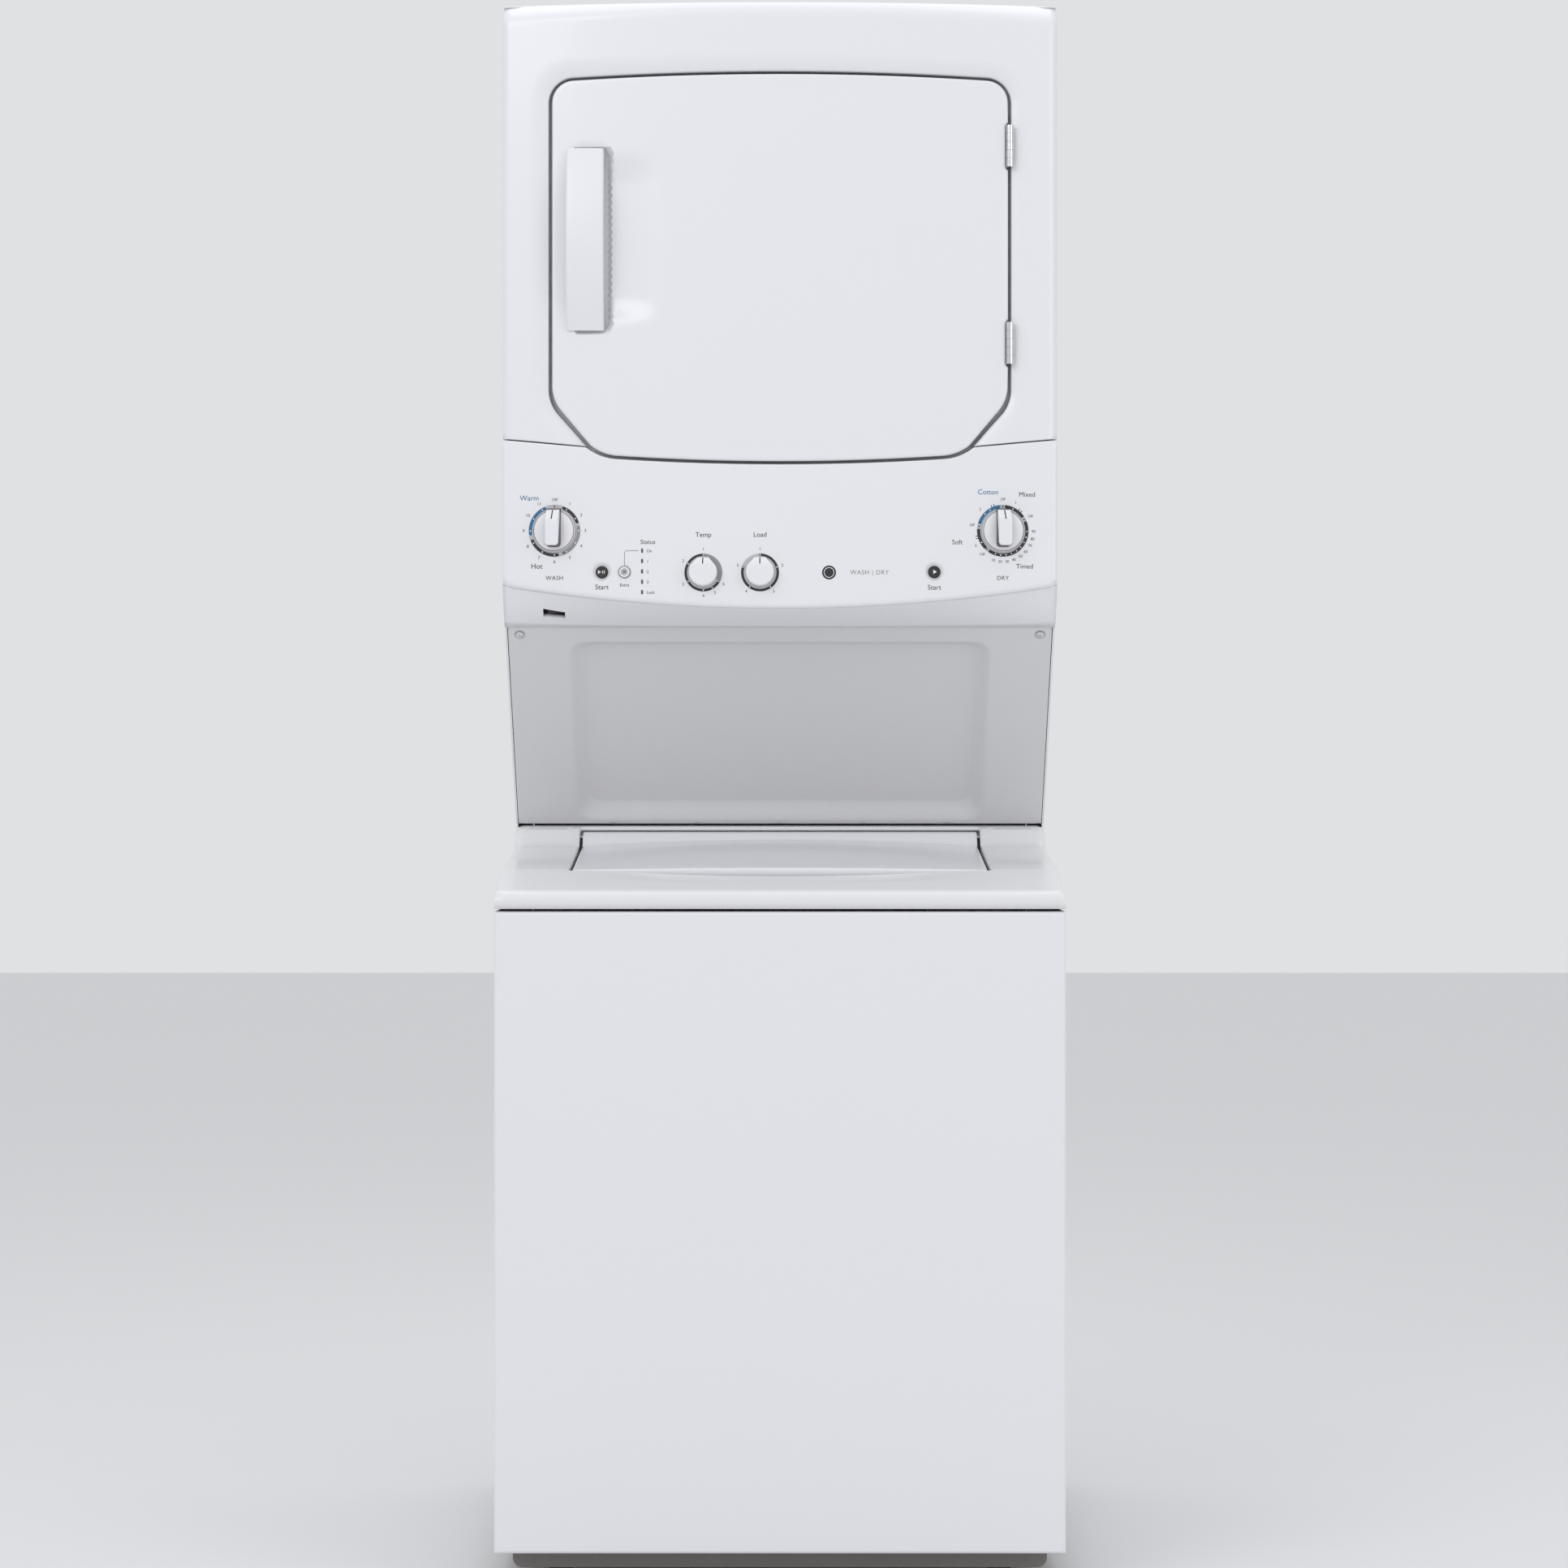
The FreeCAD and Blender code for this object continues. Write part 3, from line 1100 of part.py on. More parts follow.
def blower_housing_shape():
    y0, long = float(deep(s.drumFront + 3)), 58
    axis = Vector(0, 1, 0)
    outer = Part.makeCylinder(80, long, Vector(motor_x, y0, motor_z), axis)
    room = Part.makeCylinder(77, long - 6, Vector(motor_x, y0 + 3, motor_z), axis)
    duct_x, duct_z = float(s.ductX), float(s.ductHeight)
    neck = Part.makeBox(motor_x - duct_x + 50, long, 84, Vector(duct_x - 50, y0, duct_z - 46))
    neck_room = Part.makeBox(motor_x - duct_x + 50, long - 6, 78,
                             Vector(duct_x - 47, y0 + 3, duct_z - 43))
    housing = outer.fuse(neck).cut(room.fuse(neck_room))
    shaft_hole = Part.makeCylinder(9, 90, Vector(motor_x, y0 + 20, motor_z), axis)
    inlet = Part.makeCylinder(45, 20, Vector(motor_x, y0 - 10, motor_z), axis)
    outlet = Part.makeCylinder(float(s.ductRadius) - 16, 40, Vector(duct_x, y0 + 30, duct_z - 4), axis)
    return housing.cut(shaft_hole.fuse(inlet).fuse(outlet))


blower_case = shaped("BlowerCase", blower_housing_shape())
duct_start = s.drumFront + 62
keep(pipe("ExhaustPipe", "y", s.ductRadius, s.ductRadius - 1, s.depth - duct_start, s.ductX,
          deep(duct_start), s.ductHeight), "exhaust_duct")

heater_outer = box("HeaterOuter", -315, -225, deep(450), deep(700), s.standTop + 20, 1395)
heater_inner = box("HeaterInner", -312, -228, deep(453), deep(720), s.standTop + 23, 1392)
keep(cut("Heater", heater_outer, heater_inner), "heater_box")

chute_outer = box("ChuteOuter", -108, 108, deep(168), deep(185), s.standTop + 40, 1372)
chute_inner = box("ChuteInner", -105, 105, deep(170), deep(183), s.standTop + 60, 1380)
keep(group("BlowerHousing", blower_case, cut("Chute", chute_outer, chute_inner)),
     "blower_housing_and_lint_duct")
screen_frame = box("ScreenFrame", -102, 102, deep(172.5), deep(180.5), s.standTop + 75, 1368)
screen_window = box("ScreenWindow", -92, 92, deep(171), deep(178.5), s.standTop + 85, 1345)
keep(cut("LintFilter", screen_frame, screen_window), "lint_filter")

cover_block = box("CoverBlock", cable_x - 45, cable_x + 45, deep(s.rearWall), deep(s.depth - 2),
                  cable_height - 50, cable_height + 60)
cover_hole = rod("CoverHole", "y", 11, 40, cable_x, deep(s.rearWall - 10), cable_height)
keep(cut("TerminalCover", cover_block, cover_hole), "terminal_cover")

# Checks, then one file per node.

doc.recompute()
faults = [f"{item.Label}: {item.State}" for item in doc.Objects
          if "Invalid" in item.State or "Error" in item.State]
for node in nodes:
    shape = node.Shape
    if shape.isNull() or not shape.isValid() or not shape.Solids:
        faults.append(f"{node.Label}: not a valid solid")
if faults:
    raise SystemExit("\n".join(faults))

os.makedirs("parts", exist_ok=True)
for node in nodes:
    node.Shape.exportStep(f"parts/{node.Label}.step")
print(len(nodes), "nodes written")
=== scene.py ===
import json
import math
import bmesh
import bpy
import numpy as np
from mathutils import Matrix, Vector
from mathutils.geometry import delaunay_2d_cdt


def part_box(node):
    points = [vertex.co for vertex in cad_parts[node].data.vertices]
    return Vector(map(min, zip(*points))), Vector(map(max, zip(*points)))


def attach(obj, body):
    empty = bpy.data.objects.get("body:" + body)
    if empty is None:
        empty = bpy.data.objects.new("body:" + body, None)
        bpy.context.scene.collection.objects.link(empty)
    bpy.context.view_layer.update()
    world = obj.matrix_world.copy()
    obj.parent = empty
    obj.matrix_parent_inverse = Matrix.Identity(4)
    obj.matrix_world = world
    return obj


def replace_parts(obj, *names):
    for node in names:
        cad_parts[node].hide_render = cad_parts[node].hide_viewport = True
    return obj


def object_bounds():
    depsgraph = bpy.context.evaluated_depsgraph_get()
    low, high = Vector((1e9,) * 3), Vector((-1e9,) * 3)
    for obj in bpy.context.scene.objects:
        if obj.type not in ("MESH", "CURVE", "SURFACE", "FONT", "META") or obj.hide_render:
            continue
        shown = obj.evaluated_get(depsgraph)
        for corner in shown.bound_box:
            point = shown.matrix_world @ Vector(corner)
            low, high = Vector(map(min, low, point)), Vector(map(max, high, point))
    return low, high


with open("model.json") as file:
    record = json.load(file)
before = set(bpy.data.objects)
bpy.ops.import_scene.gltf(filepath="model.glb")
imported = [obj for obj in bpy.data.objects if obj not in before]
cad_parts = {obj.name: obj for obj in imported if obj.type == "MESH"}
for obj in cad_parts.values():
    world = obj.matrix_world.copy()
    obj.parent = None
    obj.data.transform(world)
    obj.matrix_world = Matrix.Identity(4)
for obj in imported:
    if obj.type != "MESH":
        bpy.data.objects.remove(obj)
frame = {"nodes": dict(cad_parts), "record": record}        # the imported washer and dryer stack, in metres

mm = 0.001
cadLow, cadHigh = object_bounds()
scene = bpy.context.scene


def boxMm(node):
    low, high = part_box(node)
    return low / mm, high / mm


frontY = cadLow.y / mm


def deep(distance):      # Y of a place that far behind the washer's front
    return frontY + distance


# Making meshes.

def addPiece(name, verts, faces, body, slotName, sharp=40):
    mesh = bpy.data.meshes.new(name)
    mesh.from_pydata([Vector(v) * mm for v in verts], [], [list(map(int, f)) for f in faces])
    mesh.validate()
    mesh.shade_smooth()
    mesh.set_sharp_from_angle(angle=math.radians(sharp))
    piece = bpy.data.objects.new(name, mesh)
    scene.collection.objects.link(piece)
    piece.data.materials.append(finishes[slotName])
    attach(piece, body)
    return piece


def thicken(piece, thick):
    wall = piece.modifiers.new("wall", "SOLIDIFY")
    wall.thickness = thick * mm
    wall.offset = -1
    return piece


def bmPiece(name, bm, body, slotName, sharp=40):
    bm.normal_update()
    bm.verts.index_update()
    verts = [v.co.copy() for v in bm.verts]
    faces = [[v.index for v in f.verts] for f in bm.faces]
    bm.free()
    return addPiece(name, verts, faces, body, slotName, sharp)


def joinLists(parts):      # several (verts, faces) pairs as one
    verts, faces = [], []
    for partVerts, partFaces in parts:
        start = len(verts)
        verts += [tuple(v) for v in partVerts]
        faces += [[i + start for i in f] for f in partFaces]
    return verts, faces


def arcThrough(a, b, c, count):      # points on the circle through three points
    (ax, ay), (bx, by), (cx, cy) = a, b, c
    d = 2 * (ax * (by - cy) + bx * (cy - ay) + cx * (ay - by))
    ux = ((ax**2 + ay**2) * (by - cy) + (bx**2 + by**2) * (cy - ay) + (cx**2 + cy**2) * (ay - by)) / d
    uy = ((ax**2 + ay**2) * (cx - bx) + (bx**2 + by**2) * (ax - cx) + (cx**2 + cy**2) * (bx - ax)) / d
    radius = math.hypot(ax - ux, ay - uy)
    start, mid, end = [math.atan2(y - uy, x - ux) for x, y in (a, b, c)]
    sweep = (end - start) % math.tau
    if (mid - start) % math.tau > sweep:
        sweep -= math.tau
    turns = [start + sweep * i / count for i in range(count + 1)]
    return [(ux + radius * math.cos(turn), uy + radius * math.sin(turn)) for turn in turns]


def spaced(points, step):      # a closed loop with long sides cut into short ones
    loop = []
    for (x0, z0), (x1, z1) in zip(points, points[1:] + points[:1]):
        length = math.hypot(x1 - x0, z1 - z0)
        if length < 1e-4:
            continue
        cuts = max(1, round(length / step))
        loop += [(x0 + (x1 - x0) * i / cuts, z0 + (z1 - z0) * i / cuts) for i in range(cuts)]
    return loop


def inside(loop, pts):
    hit = np.zeros(len(pts), bool)
    x, z = pts[:, 0], pts[:, 1]
    for (x0, z0), (x1, z1) in zip(loop, loop[1:] + loop[:1]):
        if z0 == z1:
            continue
        crosses = (z0 > z) != (z1 > z)
        hit ^= crosses & (x < (x1 - x0) * (z - z0) / (z1 - z0) + x0)
    return hit


def awayFrom(path, pts, closed=True):      # distance from each point to a path
    best = np.full(len(pts), 1e9)
    pairs = zip(path, path[1:] + path[:1]) if closed else zip(path, path[1:])
    for a, b in pairs:
        a, b = np.array(a), np.array(b)
        run = b - a
        share = np.clip(((pts - a) @ run) / max(run @ run, 1e-9), 0, 1)
        gap = pts - a - share[:, None] * run
        best = np.minimum(best, np.hypot(gap[:, 0], gap[:, 1]))
    return best


def sideways(points, closed=True):      # the direction square to a path at each of its points
    along = np.roll(points, -1, 0) - np.roll(points, 1, 0)
    if not closed:
        along[0], along[-1] = points[1] - points[0], points[-1] - points[-2]
    along /= np.maximum(np.hypot(along[:, 0], along[:, 1]), 1e-9)[:, None]
    return np.stack([-along[:, 1], along[:, 0]], 1)


def roll(distance, radius):      # how far a rounded edge has turned back, from its border inwards
    near = np.clip(radius - distance, 0, radius)
    return radius - np.sqrt(np.maximum(radius**2 - near**2, 0))


def smooth(t):
    t = np.clip(t, 0, 1)
    return t * t * (3 - 2 * t)


def fromFront(point, value):      # an outline of (X, Z) points, with Y as its surface
    return (point[0], value, point[1])


def fromAbove(point, value):      # an outline of (X, depth) points, with Z as its surface
    return (point[0], deep(point[1]), value)


def skin(outline, holes, step, surface, borders=(0.4, 1.2, 2.5, 4.5, 7, 11), extra=(), lines=(),
         place=fromFront):
    # A sheet over an outline: surface(points) gives its height, and place sets it in the room.
    # Points are set closer along the borders, along lines and in circles round extra centres.
    loops = [spaced(loop, step) for loop in [outline, *holes]]
    xs, zs = [p[0] for p in loops[0]], [p[1] for p in loops[0]]
    gx = np.arange(min(xs) + step / 2, max(xs), step)
    gz = np.arange(min(zs) + step / 2, max(zs), step)
    free = np.array([(x + (step / 2 if j % 2 else 0), z) for j, z in enumerate(gz) for x in gx])
    rings = []
    for loop in loops:
        points = np.array(loop)
        normal = sideways(points)
        for d in borders:
            for sign in (-1, 1):
                beside = points + sign * d * normal
                rings.append(beside[awayFrom(loop, beside) > 0.9 * d])
    for centre, radii in extra:
        for radius in radii:
            count = max(6, int(math.tau * radius / 1.6))
            turn = np.arange(count) * math.tau / count
            rings.append(np.stack([centre[0] + radius * np.cos(turn), centre[1] + radius * np.sin(turn)], 1))

    def kept(pts, clear):
        ok = inside(loops[0], pts)
        for hole in loops[1:]:
            ok &= ~inside(hole, pts)
        for loop in loops:
            ok &= awayFrom(loop, pts) > clear
        return pts[ok]
    for path, closed, offsets in lines:
        points = np.array(spaced(path, step * 0.7)[:None if closed else -1])
        normal = sideways(points, closed)
        near = awayFrom(path, free, closed)
        free = free[near > max(abs(d) for d in offsets) + step * 0.35]
        rings += [points + d * normal for d in offsets]
    grid = kept(free, max(borders) + step * 0.4 if borders else step * 0.4)
    ringPoints = kept(np.concatenate(rings), min(borders) * 0.5) if rings else np.zeros((0, 2))
    for centre, radii in extra:
        grid = grid[np.hypot(grid[:, 0] - centre[0], grid[:, 1] - centre[1]) > max(radii) + 1]
    border = [p for loop in loops for p in loop]
    edges, start = [], 0
    for loop in loops:
        edges += [(start + i, start + (i + 1) % len(loop)) for i in range(len(loop))]
        start += len(loop)
    flat = [Vector(p) for p in border] + [Vector(p) for p in ringPoints] + [Vector(p) for p in grid]
    out, _, tris, *_ = delaunay_2d_cdt(flat, edges, [], 0, 1e-4, False)
    pts = np.array([tuple(v) for v in out])
    tris = np.array([t for t in tris if len(t) == 3])
    mid = pts[tris].mean(1)
    ok = inside(loops[0], mid)
    for hole in loops[1:]:
        ok &= ~inside(hole, mid)
    a, b, c = pts[tris[:, 0]], pts[tris[:, 1]], pts[tris[:, 2]]
    area = (b[:, 0] - a[:, 0]) * (c[:, 1] - a[:, 1]) - (b[:, 1] - a[:, 1]) * (c[:, 0] - a[:, 0])
    ok &= np.abs(area) > 1e-6
    tris, flip = tris[ok], area[ok] < 0
    tris[flip] = tris[flip][:, ::-1]
    bm = bmesh.new()
    made = [bm.verts.new(place(p, value)) for p, value in zip(pts, surface(pts))]
    for tri in tris:
        bm.faces.new([made[i] for i in tri])
    loose = [v for v in bm.verts if not v.link_faces]
    bmesh.ops.delete(bm, geom=loose, context="VERTS")
    return bm


def foldBack(bm, moves, wanted=None):
    # Turns the open border over: each move gives the next row's place. wanted picks the edges.
    border = [e for e in bm.edges if e.is_boundary
              and (wanted is None or wanted((e.verts[0].co + e.verts[1].co) / 2))]
    for move in moves:
        grown = bmesh.ops.extrude_edge_only(bm, edges=border)["geom"]
        fresh = [g for g in grown if isinstance(g, bmesh.types.BMVert)]
        for v in fresh:
            v.co = move(v.co.copy())
        border = [g for g in grown if isinstance(g, bmesh.types.BMEdge)
                  and g.verts[0] in fresh and g.verts[1] in fresh]
    return bm


def toY(depth):      # a fold straight back to one depth
    return lambda co: (co.x, depth, co.z)


def gridSheet(rows):      # a sheet through rows of equal length
    width = len(rows[0])
    verts = [p for row in rows for p in row]
    faces = [(i * width + j, i * width + j + 1, (i + 1) * width + j + 1, (i + 1) * width + j)
             for i in range(len(rows) - 1) for j in range(width - 1)]
    return verts, faces


def lathe(profile, count=48):      # (radius, height) points turned about local Z
    turns = [math.tau * i / count for i in range(count)]
    verts = [(radius * math.cos(a), radius * math.sin(a), height) for radius, height in profile for a in turns]
    faces = []
    for i in range(len(profile) - 1):
        for j in range(count):
            k = (j + 1) % count
            faces.append((i * count + j, i * count + k, (i + 1) * count + k, (i + 1) * count + j))
    faces.append(tuple(range(count))[::-1])
    faces.append(tuple(len(verts) - count + i for i in range(count)))
    return verts, faces


def placed(part, matrix):      # a (verts, faces) pair moved by a matrix, all in millimetres
    verts, faces = part
    return [matrix @ Vector(v) for v in verts], faces


# Finishes: one material for each slot.

def makeGroup(name, inputs, outputs):
    group = bpy.data.node_groups.new(name, "ShaderNodeTree")
    for socketName, kind, value in inputs:
        socket = group.interface.new_socket(socketName, in_out="INPUT", socket_type=kind)
        socket.default_value = value
    for socketName, kind in outputs:
        group.interface.new_socket(socketName, in_out="OUTPUT", socket_type=kind)
    return group, group.nodes.new("NodeGroupInput"), group.nodes.new("NodeGroupOutput")


def link(tree, source, target):
    tree.links.new(source, target)


skinOutputs = [("Colour", "NodeSocketColor"), ("Roughness", "NodeSocketFloat"), ("Height", "NodeSocketFloat")]


def paintedGroup():
    # Orange peel and a faint unevenness of tone and gloss.
    group, start, end = makeGroup("paintedSkin", [
        ("Colour", "NodeSocketColor", (0.8, 0.8, 0.8, 1)), ("Roughness", "NodeSocketFloat", 0.3),
        ("Peel Size", "NodeSocketFloat", 420), ("Unevenness", "NodeSocketFloat", 0.004)],
        skinOutputs)
    nodes = group.nodes
    place = nodes.new("ShaderNodeTexCoord")
    peel = nodes.new("ShaderNodeTexNoise")
    peel.inputs["Detail"].default_value = 2
    link(group, place.outputs["Object"], peel.inputs["Vector"])
    link(group, start.outputs["Peel Size"], peel.inputs["Scale"])
    tone = nodes.new("ShaderNodeTexNoise")
    tone.inputs["Scale"].default_value = 5
    tone.inputs["Detail"].default_value = 5
    link(group, place.outputs["Object"], tone.inputs["Vector"])
    centred = nodes.new("ShaderNodeMath")
    centred.operation = "SUBTRACT"
    centred.inputs[1].default_value = 0.5
    link(group, tone.outputs["Fac"], centred.inputs[0])
    shift = nodes.new("ShaderNodeMath")
    shift.operation = "MULTIPLY"
    link(group, centred.outputs[0], shift.inputs[0])
    link(group, start.outputs["Unevenness"], shift.inputs[1])
    bright = nodes.new("ShaderNodeMath")
    bright.operation = "ADD"
    bright.inputs[1].default_value = 1
    link(group, shift.outputs[0], bright.inputs[0])
    hsv = nodes.new("ShaderNodeHueSaturation")
    link(group, start.outputs["Colour"], hsv.inputs["Color"])
    link(group, bright.outputs[0], hsv.inputs["Value"])
    link(group, hsv.outputs["Color"], end.inputs["Colour"])
    rough = nodes.new("ShaderNodeMath")
    rough.operation = "MULTIPLY_ADD"
    rough.inputs[1].default_value = 2
    link(group, shift.outputs[0], rough.inputs[0])
    link(group, start.outputs["Roughness"], rough.inputs[2])
    link(group, rough.outputs[0], end.inputs["Roughness"])
    link(group, peel.outputs["Fac"], end.inputs["Height"])
    return group


def varied(group, start, end, factor, low, high, height):
    # Lets a pattern's factor shade the colour and the roughness between two values.
    nodes = group.nodes
    mix = nodes.new("ShaderNodeMapRange")
    mix.inputs["To Min"].default_value = low
    mix.inputs["To Max"].default_value = high
    link(group, factor, mix.inputs["Value"])
    hsv = nodes.new("ShaderNodeHueSaturation")
    link(group, start.outputs["Colour"], hsv.inputs["Color"])
    link(group, mix.outputs["Result"], hsv.inputs["Value"])
    link(group, hsv.outputs["Color"], end.inputs["Colour"])
    rough = nodes.new("ShaderNodeMath")
    rough.operation = "MULTIPLY"
    link(group, start.outputs["Roughness"], rough.inputs[0])
    link(group, mix.outputs["Result"], rough.inputs[1])
    link(group, rough.outputs[0], end.inputs["Roughness"])
    link(group, height, end.inputs["Height"])
    return group


def brushedGroup():
    # Long fine scratches along one direction.
    group, start, end = makeGroup("brushedMetal", [
        ("Colour", "NodeSocketColor", (0.6, 0.6, 0.6, 1)), ("Roughness", "NodeSocketFloat", 0.3),
        ("Grain", "NodeSocketVector", (20, 400, 400))], skinOutputs)
    nodes = group.nodes
    place = nodes.new("ShaderNodeTexCoord")
    stretch = nodes.new("ShaderNodeVectorMath")
    stretch.operation = "MULTIPLY"
    link(group, place.outputs["Object"], stretch.inputs[0])
    link(group, start.outputs["Grain"], stretch.inputs[1])
    grain = nodes.new("ShaderNodeTexNoise")
    grain.inputs["Scale"].default_value = 1
    grain.inputs["Detail"].default_value = 3
    link(group, stretch.outputs[0], grain.inputs["Vector"])
    return varied(group, start, end, grain.outputs["Fac"], 0.85, 1.1, grain.outputs["Fac"])


def spangleGroup():
    # The crystal pattern of zinc coating.
    group, start, end = makeGroup("zincSpangle", [
        ("Colour", "NodeSocketColor", (0.6, 0.6, 0.6, 1)), ("Roughness", "NodeSocketFloat", 0.4),
        ("Crystal Size", "NodeSocketFloat", 120)], skinOutputs)
    nodes = group.nodes
    place = nodes.new("ShaderNodeTexCoord")
    crystal = nodes.new("ShaderNodeTexVoronoi")
    link(group, place.outputs["Object"], crystal.inputs["Vector"])
    link(group, start.outputs["Crystal Size"], crystal.inputs["Scale"])
    split = nodes.new("ShaderNodeSeparateColor")
    link(group, crystal.outputs["Color"], split.inputs["Color"])
    return varied(group, start, end, split.outputs["Red"], 0.86, 1.08, crystal.outputs["Distance"])


groups = {"painted": paintedGroup(), "brushed": brushedGroup(), "spangle": spangleGroup()}


def finish(name, look, colour, rough, bump=0.02, metallic=0.0, coat=0.0, **values):
    material = bpy.data.materials.new(name)
    material.use_nodes = True
    tree = material.node_tree
    shader = tree.nodes["Principled BSDF"]
    shader.inputs["Metallic"].default_value = metallic
    shader.inputs["Coat Weight"].default_value = coat
    shader.inputs["Coat Roughness"].default_value = 0.08
    effect = tree.nodes.new("ShaderNodeGroup")
    effect.node_tree = groups[look]
    effect.inputs["Colour"].default_value = (*colour, 1)
    effect.inputs["Roughness"].default_value = rough
    for socket, value in values.items():
        effect.inputs[socket.replace("_", " ")].default_value = value
    raised = tree.nodes.new("ShaderNodeBump")
    raised.inputs["Strength"].default_value = bump
    raised.inputs["Distance"].default_value = 0.001
    link(tree, effect.outputs["Colour"], shader.inputs["Base Color"])
    link(tree, effect.outputs["Roughness"], shader.inputs["Roughness"])
    link(tree, effect.outputs["Height"], raised.inputs["Height"])
    link(tree, raised.outputs["Normal"], shader.inputs["Normal"])
    return material


finishes = {
    "white_enamel": finish("whiteEnamel", "painted", (0.80, 0.80, 0.835), 0.27, 0.05, coat=0.25, Peel_Size=380),
    "deck_enamel": finish("deckEnamel", "painted", (0.77, 0.77, 0.79), 0.25, 0.05, coat=0.25, Peel_Size=380),
    # painted shade: the sloping backsplash is the same white as the front, given this darker grey for the shade
    # on its downward-leaning face; the pause icon also uses it as its own light grey print
    "splash_grey": finish("splashGrey", "painted", (0.67, 0.67, 0.675), 0.36, 0.08, Peel_Size=500),
    # The toe kick's own grey, also used as painted shade for the band round each cycle knob's skirt.
    "kick_grey": finish("kickGrey", "painted", (0.235, 0.22, 0.205), 0.45, 0.1, Peel_Size=600),
    "white_plastic": finish("whitePlastic", "painted", (0.80, 0.80, 0.83), 0.33, 0.06, Peel_Size=1100),
    "black_plastic": finish("blackPlastic", "painted", (0.018, 0.018, 0.02), 0.38, 0.12, Peel_Size=1400,
                            Unevenness=0.2),
    "glide_plastic": finish("glidePlastic", "painted", (0.72, 0.69, 0.58), 0.42, 0.1, Peel_Size=900),
    "dark_lens": finish("darkLens", "painted", (0.045, 0.06, 0.075), 0.12, 0.01, coat=0.6, Peel_Size=300),
    "seal_felt": finish("sealFelt", "painted", (0.62, 0.6, 0.56), 0.9, 0.8, Peel_Size=2200, Unevenness=0.2),
    "rubber_foot": finish("rubberFoot", "painted", (0.025, 0.025, 0.026), 0.7, 0.3, Peel_Size=900,
                          Unevenness=0.2),
    "belt_rubber": finish("beltRubber", "painted", (0.02, 0.02, 0.021), 0.6, 0.3, Peel_Size=1500,
                          Unevenness=0.2),
    "chrome": finish("chrome", "brushed", (0.72, 0.72, 0.74), 0.14, 0.02, metallic=1.0, Grain=(300, 300, 60)),
    "steel": finish("turnedSteel", "brushed", (0.5, 0.5, 0.52), 0.32, 0.08, metallic=1.0, Grain=(60, 60, 900)),
    "motor_steel": finish("motorSteel", "painted", (0.06, 0.065, 0.07), 0.4, 0.1, Peel_Size=500),
    "cast_metal": finish("castMetal", "painted", (0.3, 0.3, 0.31), 0.55, 0.5, metallic=0.9, Peel_Size=900,
                         Unevenness=0.15),
    "galvanised": finish("galvanised", "spangle", (0.56, 0.57, 0.58), 0.38, 0.05, metallic=1.0),
    "stainless": finish("stainless", "brushed", (0.62, 0.62, 0.63), 0.25, 0.05, metallic=1.0,
                        Grain=(500, 500, 12)),
    "drum_enamel": finish("drumEnamel", "painted", (0.7, 0.7, 0.68), 0.35, 0.1, Peel_Size=500, Unevenness=0.05),
}
inks = {
    "inkBlack": finish("inkBlack", "painted", (0.022, 0.022, 0.025), 0.5, 0.02, Peel_Size=2500, Unevenness=0.3),
    # painted shade: a near-black for the white grip walls of the cycle knobs, which look dark only because of
    # how light falls
    "gripWallShadeGrey": finish("gripWallShadeGrey", "painted", (0.05, 0.05, 0.052), 0.4, 0.05, Peel_Size=1200),
    "inkBlue": finish("inkBlue", "painted", (0.02, 0.15, 0.30), 0.5, 0.02, Peel_Size=2500, Unevenness=0.2),
    "inkGrey": finish("inkGrey", "painted", (0.5, 0.5, 0.52), 0.5, 0.02, Peel_Size=2500, Unevenness=0.1),
    "inkDeepGrey": finish("inkDeepGrey", "painted", (0.27, 0.27, 0.28), 0.5, 0.02, Peel_Size=2500,
                          Unevenness=0.1),
    "inkWhite": finish("inkWhite", "painted", (0.85, 0.85, 0.86), 0.5, 0.02, Peel_Size=2500, Unevenness=0.02),
}


def recolour(piece, ink):      # a printed face, or a face tinted dark as painted shade, in its slot with its own colour
    piece.data.materials.clear()
    piece.data.materials.append(inks[ink])


for part in frame["record"]["subparts"]:
    node = frame["nodes"][part["node"]]
    node.data.materials.clear()
    node.data.materials.append(finishes[part["material_slot"]])
print("finishes on", len(frame["nodes"]), "parts")

# The dryer front and its door.

dryerLow, dryerHigh = boxMm("dryer_front_panel")
consoleLow, consoleHigh = boxMm("control_console")
doorLow, doorHigh = boxMm("door_outer_panel")
front = {
    "half": dryerHigh.x, "midY": dryerLow.y, "bow": 24, "top": dryerHigh.z + 2, "back": dryerHigh.y,
    "seam": consoleHigh.z, "dip": 10, "dipX": 237, "seamGap": 1.5, "edge": 9,
    "creaseSide": 23, "creaseRise": 9.5, "bevel": 20, "bevelDrop": 5.5,
}
door = {
    "side": doorHigh.x, "top": doorHigh.z, "foot": doorLow.z, "back": doorHigh.y, "gap": 3.5, "corner": 27,
    "edge": 2.6, "cup": (-255, -204.5, 1511, 1738), "cupDeep": 14, "dishEnd": -138, "dishDeep": 8.5,
    "hingeLows": (1473, 1714), "hingeLong": 51, "notchX": 276.4,
}


def bowed(x):
    return front["midY"] + front["bow"] * (x / front["half"]) ** 2


